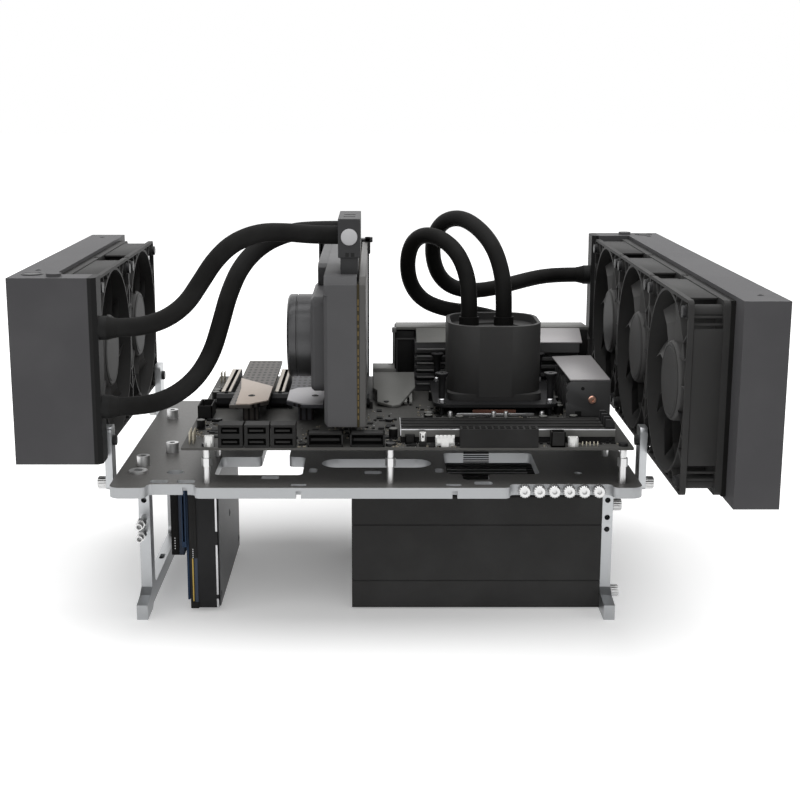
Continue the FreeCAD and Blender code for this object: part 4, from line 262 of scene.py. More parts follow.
def dots_mask(colour, pitch, axis=None, low=0.0, high=0.0):
    """Small round holes in staggered rows, kept to one stretch if given."""

    def build(nodes, links, blend):
        place = nodes.new("ShaderNodeTexCoord")
        cells = nodes.new("ShaderNodeTexVoronoi")
        cells.inputs["Scale"].default_value = 1.0 / pitch
        cells.inputs["Randomness"].default_value = 0.0
        flat = nodes.new("ShaderNodeVectorMath")
        flat.operation = "MULTIPLY"
        flat.inputs[1].default_value = (1.0, 0.40, 0.0)
        links.new(place.outputs["Object"], flat.inputs[0])
        links.new(flat.outputs[0], cells.inputs["Vector"])
        hole = nodes.new("ShaderNodeMapRange")
        hole.inputs["From Min"].default_value = 0.34
        hole.inputs["From Max"].default_value = 0.26
        links.new(cells.outputs["Distance"], hole.inputs["Value"])
        last = hole.outputs["Result"]
        if axis:
            zone = part_of_axis(nodes, links, place.outputs["Object"], axis, low, high)
            both = nodes.new("ShaderNodeMath")
            both.operation = "MULTIPLY"
            links.new(last, both.inputs[0])
            links.new(zone, both.inputs[1])
            last = both.outputs[0]
        links.new(last, blend.inputs["Factor"])
        return colour

    return build


# %% [markdown]
# One finish for each kind of surface: satin cut metal, dark anodised plate,
# black paint, moulded plastics, rubber, copper and the board's lacquer. Colours
# are linear values, so they look darker here than they do on the object.

# %% Finishes
SATIN = (0.9, 26.0, 26.0)
FINISHES = {
    "cut_metal": finish("cut_metal", (0.405, 0.415, 0.425), 0.38, 1.0, wear=0.25, scale=160.0, stretch=SATIN, bump=0.05),
    "plate_anodised": finish("plate_anodised", (0.40, 0.41, 0.42), 0.45, 0.4, wear=0.2, scale=700.0, bump=0.06, specular=0.3),
    "bright_screw": finish("bright_screw", (0.56, 0.56, 0.56), 0.38, 1.0, wear=0.3, bump=0.03),
    "dark_screw": finish("dark_screw", (0.022, 0.022, 0.023), 0.42, 0.3, specular=0.15),
    "fan_moulding": finish("fan_moulding", (0.034, 0.0335, 0.033), 0.60, scale=1500.0, bump=0.2, specular=0.10),
    "blade_moulding": finish("blade_moulding", (0.078, 0.077, 0.076), 0.55, scale=1300.0, bump=0.12, specular=0.12),
    "hub_disc": finish("hub_disc", (0.050, 0.0495, 0.049), 0.58, scale=1300.0, bump=0.1, specular=0.12),
    "soft_rubber": finish("soft_rubber", (0.0088, 0.0086, 0.0083), 0.58, scale=1100.0, bump=0.25, specular=0.05),
    "radiator_paint": finish("radiator_paint", (0.062, 0.061, 0.064), 0.55, scale=2200.0, bump=0.2, specular=0.15),
    "board_lacquer": finish("board_lacquer", (0.072, 0.071, 0.067), 0.55, wear=0.6, scale=260.0, specular=0.10),
    "socket_moulding": finish("socket_moulding", (0.016, 0.0157, 0.0154), 0.60, scale=1600.0, bump=0.1, specular=0.10),
    "pale_moulding": finish("pale_moulding", (0.86, 0.86, 0.84), 0.42, scale=1600.0, bump=0.1),
    "latch_moulding": finish("latch_moulding", (0.022, 0.022, 0.023), 0.55, scale=1600.0, bump=0.1, specular=0.12),
    "cover_brown": finish("cover_brown", (0.085, 0.077, 0.070), 0.50, 0.3, wear=0.25, scale=500.0, bump=0.05, specular=0.2),
    "plate_brown": finish("plate_brown", (0.41, 0.345, 0.295), 0.46, 0.3, wear=0.25, scale=500.0, bump=0.05, specular=0.3),
    "plate_lavender": finish("plate_lavender", (0.38, 0.37, 0.385), 0.46, 0.3, wear=0.25, scale=500.0, bump=0.05, specular=0.3),
    "plate_grey": finish("plate_grey", (0.145, 0.145, 0.137), 0.48, 0.2, wear=0.25, scale=500.0, bump=0.05, specular=0.25),
    "chip_grey": finish("chip_grey", (0.045, 0.045, 0.044), 0.5, 0.2, scale=900.0, bump=0.1, specular=0.15),
    "rear_grey": finish("rear_grey", (0.050, 0.049, 0.049), 0.5, 0.2, scale=900.0, bump=0.12, specular=0.15),
    "fin_grey": finish("fin_grey", (0.17, 0.17, 0.17), 0.46, 0.3, scale=900.0, bump=0.1, specular=0.2),
    "shell_steel": finish("shell_steel", (0.50, 0.50, 0.51), 0.34, 1.0, wear=0.3, scale=400.0, bump=0.04),
    "sink_anodised": finish("sink_anodised", (0.072, 0.072, 0.073), 0.48, 0.2, scale=700.0, bump=0.08, specular=0.15),
    "copper": finish("copper", (0.78, 0.45, 0.34), 0.32, 1.0, worn=(0.55, 0.30, 0.22), wear=0.5, bump=0.04),
    "dark_copper": finish("dark_copper", (0.20, 0.095, 0.07), 0.42, 0.7, wear=0.4, bump=0.04),
    "pump_moulding": finish("pump_moulding", (0.050, 0.0495, 0.049), 0.52, scale=1800.0, bump=0.1, specular=0.10),
    "card_paint": finish("card_paint", (0.076, 0.0755, 0.078), 0.52, scale=1800.0, bump=0.14, specular=0.18),
    "card_backplate": finish("card_backplate", (0.068, 0.0665, 0.064), 0.46, 0.2, scale=900.0, bump=0.08, specular=0.25),
    "puck_anodised": finish("puck_anodised", (0.066, 0.066, 0.068), 0.34, 0.5, scale=900.0, bump=0.04, specular=0.3),
    "card_laminate": finish("card_laminate", (0.030, 0.024, 0.010), 0.55, scale=500.0, bump=0.05, specular=0.12),
    "supply_paint": finish("supply_paint", (0.040, 0.0395, 0.039), 0.58, scale=1700.0, bump=0.35, specular=0.10),
    "drive_casting": finish("drive_casting", (0.020, 0.020, 0.021), 0.52, scale=600.0, bump=0.2, specular=0.12),
    "drive_laminate": finish("drive_laminate", (0.016, 0.036, 0.075), 0.5, scale=500.0, bump=0.1, specular=0.15),
    "lid_grey": finish("lid_grey", (0.085, 0.086, 0.09), 0.48, 0.3, wear=0.3, scale=600.0, bump=0.08, specular=0.3),
    "slot_armour": finish("slot_armour", (0.36, 0.32, 0.27), 0.40, 0.6, wear=0.3, scale=700.0, bump=0.04),
    "drive_blue": finish("drive_blue", (0.047, 0.060, 0.088), 0.46, 0.2, scale=900.0, bump=0.1, specular=0.2),
    "drive_grey": finish("drive_grey", (0.085, 0.087, 0.094), 0.5, 0.2, scale=900.0, bump=0.1, specular=0.15),
    "yellow_lead": finish("yellow_lead", (0.62, 0.42, 0.08), 0.45, bump=0.05),
    "gold_contact": finish("gold_contact", (0.46, 0.43, 0.35), 0.40, 0.9, bump=0.02),
    "terminal_grey": finish("terminal_grey", (0.026, 0.026, 0.027), 0.5, 0.1, scale=900.0, bump=0.1, specular=0.2),
    "slab_pale": finish("slab_pale", (0.35, 0.338, 0.342), 0.42, 0.3, wear=0.3, scale=500.0, bump=0.04, specular=0.3),
    "cap_grey": finish("cap_grey", (0.45, 0.45, 0.46), 0.5, scale=900.0, bump=0.05),
    "edge_gold": finish("edge_gold", (0.12, 0.085, 0.035), 0.5, scale=900.0, bump=0.05, specular=0.15),
    "part_tan": finish("part_tan", (0.24, 0.215, 0.17), 0.5, scale=1600.0, bump=0.05, specular=0.2),
    "chip_black": finish("chip_black", (0.012, 0.012, 0.012), 0.55, scale=1600.0, bump=0.08, specular=0.10),
    "can_sleeve": finish("can_sleeve", (0.009, 0.009, 0.009), 0.5, scale=1600.0, bump=0.05, specular=0.12),
}
mask_node(FINISHES["plate_anodised"], flat_faces_mask((0.118, 0.115, 0.110)))
mask_node(FINISHES["radiator_paint"], within_mask((0.006, 0.006, 0.006), "X", 0.1879, 0.1873))
mask_node(FINISHES["cover_brown"], beyond_mask((0.066, 0.066, 0.074), "X", -0.072, -0.070))
mask_node(FINISHES["cover_brown"], dots_mask((0.012, 0.009, 0.009), 0.0042))

NODE_FINISH = {
    "bench_plate": "plate_anodised",
    "left_leg": "cut_metal",
    "right_leg": "cut_metal",
    "standoffs": "bright_screw",
    "plate_nuts": "bright_screw",
    "radiator_brackets": "cut_metal",
    "fan_screws": "dark_screw",
    "fan_gaskets": "soft_rubber",
    "left_radiator": "radiator_paint",
    "right_radiator": "radiator_paint",
    "mainboard": "board_lacquer",
    "board_screws": "dark_screw",
    "card_slots": "socket_moulding",
    "slot_latches": "latch_moulding",
    "memory_slots": "socket_moulding",
    "memory_latches": "latch_moulding",
    "main_power_socket": "socket_moulding",
    "data_ports": "socket_moulding",
    "drive_covers": "cover_brown",
    "chip_cover": "chip_grey",
    "rear_cover": "rear_grey",
    "rear_ports": "shell_steel",
    "power_sinks": "sink_anodised",
    "cpu_socket": "socket_moulding",
    "processor": "shell_steel",
    "cold_plate": "dark_copper",
    "cooler_bracket": "dark_screw",
    "cooler_screws": "dark_screw",
    "pump_housing": "pump_moulding",
    "pump_fittings": "soft_rubber",
    "graphics_board": "card_laminate",
    "graphics_shroud": "card_paint",
    "graphics_backplate": "card_backplate",
    "graphics_cold_block": "card_paint",
    "graphics_pump": "puck_anodised",
    "graphics_bracket": "dark_screw",
    "graphics_terminal": "terminal_grey",
    "supply_case": "supply_paint",
    "supply_fan_rotor": "blade_moulding",
    "supply_inlet": "socket_moulding",
    "supply_switch": "latch_moulding",
    "hard_drive": "drive_casting",
    "hard_drive_board": "drive_laminate",
    "solid_drive": "drive_grey",
}
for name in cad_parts:
    if "_fan_frame_" in name:
        NODE_FINISH[name] = "fan_moulding"
    if "_fan_rotor_" in name:
        NODE_FINISH[name] = "blade_moulding"

# %% [markdown]
# CAD edges are perfectly sharp, and a real edge always catches a line of light.
# Three modifiers soften them without touching the mesh: Weld joins the loose
# triangles, Decimate merges flat ones, and Bevel rounds only the sharp edges.

# %% Dress the CAD nodes
EDGE_WIDTH = {
    "bench_plate": 0.5,
    "left_leg": 0.7,
    "right_leg": 0.7,
    "left_radiator": 1.1,
    "right_radiator": 1.1,
    "supply_case": 0.5,
    "graphics_shroud": 0.4,
    "graphics_backplate": 0.4,
    "graphics_cold_block": 0.5,
    "graphics_pump": 0.5,
    "graphics_terminal": 0.6,
    "radiator_brackets": 0.5,
    "pump_housing": 0.6,
    "chip_cover": 0.4,
    "rear_cover": 0.5,
    "power_sinks": 0.3,
    "drive_covers": 0.4,
    "hard_drive": 0.5,
    "solid_drive": 0.4,
    "data_ports": 0.2,
    "card_slots": 0.2,
    "memory_slots": 0.15,
    "main_power_socket": 0.15,
    "cooler_bracket": 0.3,
    "cold_plate": 0.3,
    "slot_latches": 0.3,
    "memory_latches": 0.3,
    "supply_switch": 0.3,
    "supply_inlet": 0.3,
}


def soften(piece, width):
    """Weld, merge flat faces and round the sharp edges of a CAD node."""
    weld = piece.modifiers.new("join_triangles", "WELD")
    weld.merge_threshold = 1e-6
    flat = piece.modifiers.new("merge_flat", "DECIMATE")
    flat.decimate_type = "DISSOLVE"
    flat.angle_limit = math.radians(0.4)
    edge = piece.modifiers.new("round_edges", "BEVEL")
    edge.limit_method = "ANGLE"
    edge.angle_limit = math.radians(38)
    edge.width = width * MM
    edge.segments = 2


for name, key in NODE_FINISH.items():
    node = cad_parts[name]
    node.data.materials.clear()
    node.data.materials.append(FINISHES[key])
    if name in EDGE_WIDTH:
        soften(node, EDGE_WIDTH[name])
print("dressed", len(NODE_FINISH), "nodes")

# %% [markdown]
# The four hoses are stiff rubber that hangs in the air between two fittings.
# Each is one NURBS curve through the route's own points, so its line is smooth
# from end to end, with a round bevel for its thickness.

# %% Hoses
HOSE_RADIUS = 6.3
HOSES = {
    "processor_hose_front_rubber": ("processor_hose_front", 0.325, [
        (71.3, 57, 204.5), (71.3, 57, 221), (69, 61, 238), (62, 71, 253), (50, 85, 262), (37, 101, 263),
        (28, 114, 254), (25, 124, 237), (28, 133, 219), (38, 141, 205), (54, 148, 197), (73, 157, 193),
        (94, 167, 188), (115, 177, 180), (137, 185, 171.5), (158, 189.55, 166.4), (177.2, 189.55, 166.4),
    ]),
    "processor_hose_rear_rubber": ("processor_hose_rear", 0.314, [
        (97.7, 57, 204.5), (97.7, 57, 221), (96, 61, 239), (90, 71, 257), (79, 85, 270), (66, 100, 276.5),
        (53, 114, 272), (46, 124, 258), (46, 132, 240), (52, 139, 224), (64, 146, 214), (81, 154, 210.5),
        (101, 163, 212), (121, 173, 216), (140, 183, 219), (159, 189.55, 219.7), (177.2, 189.55, 219.7),
    ]),
    "graphics_hose_upper_rubber": ("graphics_hose_upper", 0.181, [
        (-177.2, -88, 219.7), (-160, -88, 219.7), (-141, -87, 224), (-126, -83.5, 234), (-116, -78.5, 249),
        (-107, -73, 263), (-95, -66.5, 274), (-78, -59.5, 280), (-59, -54.5, 279.5), (-42, -52, 277.5),
        (-25.3, -52, 277.5),
    ]),
    "graphics_hose_lower_rubber": ("graphics_hose_lower", 0.227, [
        (-177.2, -88, 166.4), (-158, -88, 166.4), (-138, -84, 171), (-122, -76.5, 182), (-111.5, -67, 198),
        (-106, -57, 217), (-101, -46, 237), (-93, -35, 255), (-79, -25.5, 268.5), (-61, -18.5, 276),
        (-43, -16, 277.5), (-25.3, -16, 277.5),
    ]),
}


def make_hose(name, node, route):
    """One smooth hose that stands for its CAD tube."""
    curve = bpy.data.curves.new(name, "CURVE")
    curve.dimensions = "3D"
    curve.bevel_depth = HOSE_RADIUS * MM
    curve.bevel_resolution = 10
    curve.resolution_u = 12
    curve.use_fill_caps = True
    line = curve.splines.new("NURBS")
    line.points.add(len(route) - 1)
    for point, (x, y, z) in zip(line.points, route):
        point.co = (x * MM, y * MM, z * MM, 1)
    line.order_u = 3
    line.use_endpoint_u = True
    curve.materials.append(FINISHES["soft_rubber"])
    piece = bpy.data.objects.new(name, curve)
    scene.collection.objects.link(piece)
    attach(piece, BENCH)
    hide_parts(node)
    return piece


for name, (node, length, route) in HOSES.items():
    make_hose(name, node, route)
print("hoses", len(HOSES))

# %% [markdown]
# The stage is a wide pale floor, a white sky and five soft lamps. The sky is pure
# white only for the camera and for reflections, so the object itself is lit at a
# plain level and keeps a soft shadow under it. The floor's glow is weaker round
# the bench, a painted shade that deepens that shadow.

# %% Stage and light
FLOOR_HALF = 12.0


def seen_directly(nodes, links):
    """A value that is 1 for what is seen or mirrored and 0 for light on the object."""
    path = nodes.new("ShaderNodeLightPath")
    seen = path.outputs["Is Camera Ray"]
    for kind in ("Is Glossy Ray", "Is Transmission Ray"):
        joined = nodes.new("ShaderNodeMath")
        joined.operation = "MAXIMUM"
        links.new(seen, joined.inputs[0])
        links.new(path.outputs[kind], joined.inputs[1])
        seen = joined.outputs[0]
    return seen


def make_world():
    world = bpy.data.worlds.new("studio_sky")
    scene.world = world
    world.use_nodes = True
    nodes, links = world.node_tree.nodes, world.node_tree.links
    sky = nodes["Background"]
    sky.inputs["Color"].default_value = (1, 1, 1, 1)
    strength = nodes.new("ShaderNodeMapRange")
    strength.inputs["To Min"].default_value = 0.34
    strength.inputs["To Max"].default_value = 1.0
    links.new(seen_directly(nodes, links), strength.inputs["Value"])
    links.new(strength.outputs["Result"], sky.inputs["Strength"])


def make_floor():
    """A white sheet that takes a real shadow, with a painted shade: its glow is weak near the bench and full far off.
    """
    shape = bmesh.new()
    bmesh.ops.create_grid(shape, x_segments=1, y_segments=1, size=FLOOR_HALF)
    mesh = bpy.data.meshes.new("studio_floor")
    shape.to_mesh(mesh)
    shape.free()
    floor = bpy.data.objects.new("studio_floor", mesh)
    scene.collection.objects.link(floor)
    material = bpy.data.materials.new("studio_floor")
    material.use_nodes = True
    shader = material.node_tree.nodes["Principled BSDF"]
    shader.inputs["Base Color"].default_value = (0.93, 0.93, 0.93, 1)
    shader.inputs["Roughness"].default_value = 0.9
    shader.inputs["Specular IOR Level"].default_value = 0.0
    shader.inputs["Emission Strength"].default_value = 1.0
    nodes, links = material.node_tree.nodes, material.node_tree.links
    # Painted shade: the glow is lowest round a point just behind the bench's middle and rises to full far off, so the
    # floor darkens round the bench.
    place = nodes.new("ShaderNodeTexCoord")
    centred = nodes.new("ShaderNodeVectorMath")
    centred.operation = "SUBTRACT"
    centred.inputs[1].default_value = (0.0, 0.16, 0.0)
    links.new(place.outputs["Object"], centred.inputs[0])
    far = nodes.new("ShaderNodeVectorMath")
    far.operation = "LENGTH"
    links.new(centred.outputs[0], far.inputs[0])
    painted_shade_glow = nodes.new("ShaderNodeMapRange")
    painted_shade_glow.inputs["From Min"].default_value = 0.07
    painted_shade_glow.inputs["From Max"].default_value = 0.63
    painted_shade_glow.inputs["To Min"].default_value = 0.12
    painted_shade_glow.inputs["To Max"].default_value = 0.75
    links.new(far.outputs["Value"], painted_shade_glow.inputs["Value"])
    shown = nodes.new("ShaderNodeMath")
    shown.operation = "MULTIPLY"
    links.new(painted_shade_glow.outputs["Result"], shown.inputs[0])
    links.new(seen_directly(nodes, links), shown.inputs[1])
    links.new(shown.outputs[0], shader.inputs["Emission Color"])
    mesh.materials.append(material)


def make_lamp(name, place, target, wide, power):
    data = bpy.data.lights.new(name, "AREA")
    data.shape = "RECTANGLE"
    data.size, data.size_y = wide
    data.energy = power
    lamp = bpy.data.objects.new(name, data)
    lamp.location = place
    lamp.rotation_euler = (Vector(target) - Vector(place)).to_track_quat("-Z", "Y").to_euler()
    lamp.visible_camera = False
    scene.collection.objects.link(lamp)


make_world()
make_floor()
make_lamp("overhead_soft", (0.0, 0.0, 1.7), (0, 0, 0.1), (2.2, 1.8), 25.0)
make_lamp("front_soft", (0.0, -2.2, 1.7), (0, 0, 0.15), (3.0, 1.4), 11.0)
make_lamp("back_soft", (0.0, 2.3, 0.9), (0, 0, 0.2), (4.2, 1.7), 9.0)
make_lamp("left_soft", (-1.7, -1.0, 0.8), (0, 0, 0.12), (1.2, 1.1), 4.0)
make_lamp("right_soft", (1.7, -0.9, 0.8), (0, 0, 0.12), (1.2, 1.1), 4.0)
scene.view_settings.view_transform = "Standard"

# %% [markdown]
# Small parts are built from boxes and rods with bmesh operators. Each helper
# adds one shape to a bmesh and softens its edges, and many shapes of one kind
# become a single piece, because that is lighter than many objects.

# %% Shape helpers


def add_block(shape, low, high, soft=0.25, steps=2):
    """A box between two corners in millimetres, its edges rounded."""
    size = [b - a for a, b in zip(low, high)]
    middle = [(a + b) / 2 * MM for a, b in zip(low, high)]
    place = Matrix.Translation(middle) @ Matrix.Diagonal((*[v * MM for v in size], 1))
    made = bmesh.ops.create_cube(shape, size=1.0, matrix=place)
    if soft:
        edges = list({edge for vertex in made["verts"] for edge in vertex.link_edges})
        bmesh.ops.bevel(
            shape,
            geom=edges,
            offset=soft * MM,
            offset_type="OFFSET",
            segments=steps,
            profile=0.5,
            affect="EDGES",
            clamp_overlap=True,
            material=-1,
        )


TURNS = {
    "x": Matrix.Rotation(math.radians(90), 4, "Y"),
    "-x": Matrix.Rotation(math.radians(-90), 4, "Y"),
    "y": Matrix.Rotation(math.radians(-90), 4, "X"),
    "-y": Matrix.Rotation(math.radians(90), 4, "X"),
    "z": Matrix.Identity(4),
    "-z": Matrix.Rotation(math.radians(180), 4, "X"),
}


def keep(shape, name, key, body=BENCH, replaces=()):
    """Turn a bmesh into a finished piece that rides on a body."""
    bmesh.ops.recalc_face_normals(shape, faces=list(shape.faces))
    mesh = bpy.data.meshes.new(name)
    shape.to_mesh(mesh)
    shape.free()
    mesh.polygons.foreach_set("use_smooth", [True] * len(mesh.polygons))
    mesh.set_sharp_from_angle(angle=math.radians(38))
    mesh.materials.append(FINISHES[key])
    piece = bpy.data.objects.new(name, mesh)
    scene.collection.objects.link(piece)
    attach(piece, body)
    if replaces:
        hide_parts(*replaces)
    print(name, len(mesh.polygons), "faces")
    return piece


# %% [markdown]
# Turned parts, such as screws and caps, are one profile spun round an axis, as a
# lathe would cut them. A knurl is cut afterwards, by pulling in every second pair
# of corners, because a boolean for each tooth would be slow and untidy.

# %% Turned and folded helpers


def add_turned(shape, start, axis, profile, sides=40, knurl=0.0, knurled_from=0.0):
    """Spin a profile of (radius, height) pairs round an axis and close its ends."""
    place = Matrix.Translation([v * MM for v in start]) @ TURNS[axis]
    known = set(shape.verts)
    line = [shape.verts.new(place @ (Vector((radius, 0, height)) * MM)) for radius, height in profile]
    edges = [shape.edges.new(pair) for pair in zip(line, line[1:])]
    bmesh.ops.spin(
        shape,
        geom=line + edges,
        cent=place.translation,
        axis=place.to_3x3() @ Vector((0, 0, 1)),
        angle=math.tau,
        steps=sides,
        use_merge=True,
        use_duplicate=False,
    )
    made = [vertex for vertex in shape.verts if vertex not in known]
    rims = {edge for vertex in made for edge in vertex.link_edges if edge.is_boundary}
    bmesh.ops.edgeloop_fill(shape, edges=list(rims))
    back = place.inverted()
    for vertex in made if knurl else []:
        local = back @ vertex.co
        turn = round(math.atan2(local.y, local.x) / math.tau * sides) % 4
        if turn > 1 and math.hypot(local.x, local.y) > knurled_from * MM:
            local.x *= 1 - knurl
            local.y *= 1 - knurl
            vertex.co = place @ local


def add_prism(shape, points, low, tall, axis="z", soft=0.25):
    """A flat outline raised along one axis, its far edges rounded."""
    lift = {"x": 0, "y": 1, "z": 2}[axis]
    corners = []
    for first, second in points:
        corner = [first * MM, second * MM]
        corner.insert(lift, low * MM)
        corners.append(corner)
    rise = [0, 0, 0]
    rise[lift] = tall * MM
    face = shape.faces.new([shape.verts.new(corner) for corner in corners])
    made = bmesh.ops.extrude_face_region(shape, geom=[face], use_keep_orig=True)
    top = [item for item in made["geom"] if isinstance(item, bmesh.types.BMVert)]
    bmesh.ops.translate(shape, vec=rise, verts=top)
    edges = list({edge for vertex in top for edge in vertex.link_edges})
    bmesh.ops.bevel(
        shape, geom=edges, offset=soft * MM, offset_type="OFFSET", segments=2, profile=0.5, affect="EDGES", material=-1
    )


def add_tray(shape, low, high, wall=0.8, floor=1.2):
    """A box that is open at its top."""
    (x0, y0, z0), (x1, y1, z1) = low, high
    add_block(shape, low, (x1, y1, z0 + floor), 0.1, 1)
    add_block(shape, low, (x1, y0 + wall, z1), 0.15, 1)
    add_block(shape, (x0, y1 - wall, z0), high, 0.15, 1)
    add_block(shape, low, (x0 + wall, y1, z1), 0.15, 1)
    add_block(shape, (x1 - wall, y0, z0), high, 0.15, 1)


def add_mouth(shape, low, high, wall=1.2):
    """A box that is open at its front, with a tongue inside."""
    (x0, y0, z0), (x1, y1, z1) = low, high
    add_block(shape, low, (x1, y1, z0 + wall), 0.2, 1)
    add_block(shape, (x0, y0, z1 - wall), high, 0.2, 1)
    add_block(shape, low, (x0 + wall, y1, z1), 0.2, 1)
    add_block(shape, (x1 - wall, y0, z0), high, 0.2, 1)
    add_block(shape, (x0, y1 - wall, z0), high, 0.2, 1)
    middle = (z0 + z1) / 2
    add_block(shape, (x0 + 2.4, y0 + 1.5, middle - 0.9), (x1 - 2.4, y1, middle + 0.9), 0.15, 1)


def add_pins(shape, x0, y0, z0, columns, rows, pitch, tall):
    """A field of square pins."""
    for column in range(columns):
        for row in range(rows):
            x, y = x0 + column * pitch, y0 + row * pitch
            add_block(shape, (x - 0.32, y - 0.32, z0), (x + 0.32, y + 0.32, z0 + tall), 0.08, 1)


# %% [markdown]
# The thumbscrews have knurled heads with a round socket. Each is one profile,
# from the end of its shank round the head to the bottom of the socket.

# %% Thumbscrews
PLATE_MIDDLE = 108.75
RECESS_WALL = -88.15
HEAD = [(3.8, 0.02), (4.35, 0.5), (4.35, 5.9), (3.5, 6.6), (1.7, 6.6), (1.45, 4.6)]


def add_thumbscrew(shape, seat, axis, shank):
    """A knurled head that stands on its seat, with its shank behind."""
    profile = [(1.7, -shank), (1.75, 0.0)] + HEAD
    add_turned(shape, seat, axis, profile, sides=64, knurl=0.08, knurled_from=4.0)


shape = bmesh.new()
for index in range(6):
    add_thumbscrew(shape, (100.5 + index * 10.05, RECESS_WALL, PLATE_MIDDLE), "-y", 6.0)
for side, y in ((-1, -70), (-1, 155), (1, -70), (1, 165)):
    add_thumbscrew(shape, (side * 185, y, PLATE_MIDDLE), "x" if side > 0 else "-x", 11.0)
for y in (-22, 116):
    for z in (12.7, 78.6):
        add_thumbscrew(shape, (172.2, y, z), "x", 13.0)
keep(shape, "knurled_thumbscrews", "bright_screw", replaces=["thumbscrews"])

# %% [markdown]
# A fan's frame is open between its two flanges in the CAD, and the real one has
# a thin wall there. Panels close the four sides, and each rotor gets a cap with
# a turned groove on its hub, which rides with the rotor.

# %% Fans
FAN_MIDDLE = 191.5
FANS = {
    "right": (1, [-122.5, -2.5, 117.5]),
    "left": (-1, [-17.5, 102.5]),
}


def make_fan_details(word, side, number, y):
    shape = bmesh.new()
    low_x, high_x = sorted((side * 188.6, side * 206.4))
    for way in (-1, 1):
        edge = sorted((y + way * 59.5, y + way * 58.2))
        add_block(shape, (low_x, edge[0], FAN_MIDDLE - 41), (high_x, edge[1], FAN_MIDDLE + 43), 0.3)
        rim = sorted((FAN_MIDDLE + way * 59.5, FAN_MIDDLE + way * 58.2))
        add_block(shape, (low_x, y - 43, rim[0]), (high_x, y + 43, rim[1]), 0.3)
        for step in (45.5, 50.0):
            ridge = sorted((y + way * 58.0, y + way * 56.8))
            for level in (FAN_MIDDLE - step, FAN_MIDDLE + step):
                add_block(shape, (low_x, ridge[0], level - 0.7), (high_x, ridge[1], level + 0.7), 0.2)
    keep(shape, f"{word}_fan_panels_{number}", "fan_moulding")
    cap = bmesh.new()
    seat = side * 188.2
    profile = [(24.6, -0.6), (24.6, 0.0), (24.0, 0.35), (22.6, 0.4), (22.3, 0.15)]
    profile += [(21.9, 0.15), (21.6, 0.4), (3.0, 0.45)]
    add_turned(cap, (seat, y, FAN_MIDDLE), "-x" if side > 0 else "x", profile, sides=72)
    keep(cap, f"{word}_fan_cap_{number}", "hub_disc", body=f"{word}_fan_rotor_{number}")


for word, (side, places) in FANS.items():
    for number, y in enumerate(places, start=1):
        make_fan_details(word, side, number, y)

# %% [markdown]
# The two drive covers are thin plates over a pattern of holes. A second, smooth
# plate lies on each one's front, cut to the outline in the photograph.

# %% Drive covers and chip cover
shape = bmesh.new()
add_prism(
    shape, [(-100.2, -24.7), (-89.7, -24.7), (-77.8, -12.8), (-77.9, 36), (-104.8, 68), (-101.4, 30)], 153.5, 0.9
)
keep(shape, "left_drive_plate", "plate_brown")
shape = bmesh.new()
add_prism(shape, [(-52.4, -24.7), (-37.7, -24.7), (-37.7, 36), (-58.7, 30.4), (-64.3, 22), (-64.3, -12.8)], 153.5, 0.9)
keep(shape, "right_drive_plate", "plate_lavender")
shape = bmesh.new()
for x, y in ((-91.0, 2.0), (-44.5, 2.0)):
    add_turned(shape, (x, y, 154.3), "z", [(2.5, 0), (2.5, 0.5), (1.4, 0.7), (1.2, 0.2)])
for x, y in ((-115.0, 130.0), (-72.0, 130.0)):
    add_turned(shape, (x, y, 138.4), "z", [(3.0, 0), (3.0, 1.6), (2.2, 2.2), (1.2, 1.4)])
keep(shape, "drive_cover_screws", "dark_screw")

# The chip cover slopes down to the front, so its plate is built level and sheared.
CHIP_OUTLINE = [(-2, 83), (30.3, 83), (30.4, 59.5), (18.5, 34), (12.1, 32), (1.1, 38), (1.1, 54.7), (-2, 58.6)]
CHIP_SLOPE = 0.31
CHIP_FRONT = 38 * MM
shape = bmesh.new()
add_prism(shape, CHIP_OUTLINE, 140.4, 1.8, soft=0.4)
for step in range(7):
    add_block(shape, (1.5 + step * 4, 40, 139.0), (3.9 + step * 4, 82, 140.8), 0.1, 1)
for vertex in shape.verts:
    vertex.co.z += CHIP_SLOPE * max(vertex.co.y - CHIP_FRONT, -6 * MM)
for step in range(7):
    add_block(shape, (1.5 + step * 4, 44, 138.4), (3.9 + step * 4, 82, 141.0), 0.1, 1)
add_block(shape, (-1.5, 60, 138.4), (29.5, 82, 146), 0.2, 1)
keep(shape, "chip_cover_plate", "plate_grey", replaces=["chip_cover"])
shape = bmesh.new()
add_block(shape, (-2.4, 86, 138.4), (15.0, 108, 158.4), 0.5)
keep(shape, "side_cover", "plate_grey")
shape = bmesh.new()
add_turned(shape, (12.0, 103.0, 158.3), "z", [(2.2, 0), (2.2, 0.15), (1.6, 0.25)])
add_turned(shape, (8.0, 38.0, 142.0), "z", [(2.0, 0), (2.0, 0.6), (1.4, 0.8)])
keep(shape, "chip_cover_screws", "dark_screw")

# %% [markdown]
# The small sockets along the board's front edge are folded from thin walls, so
# that they are hollow like real ones. White ones stand out in the photograph.

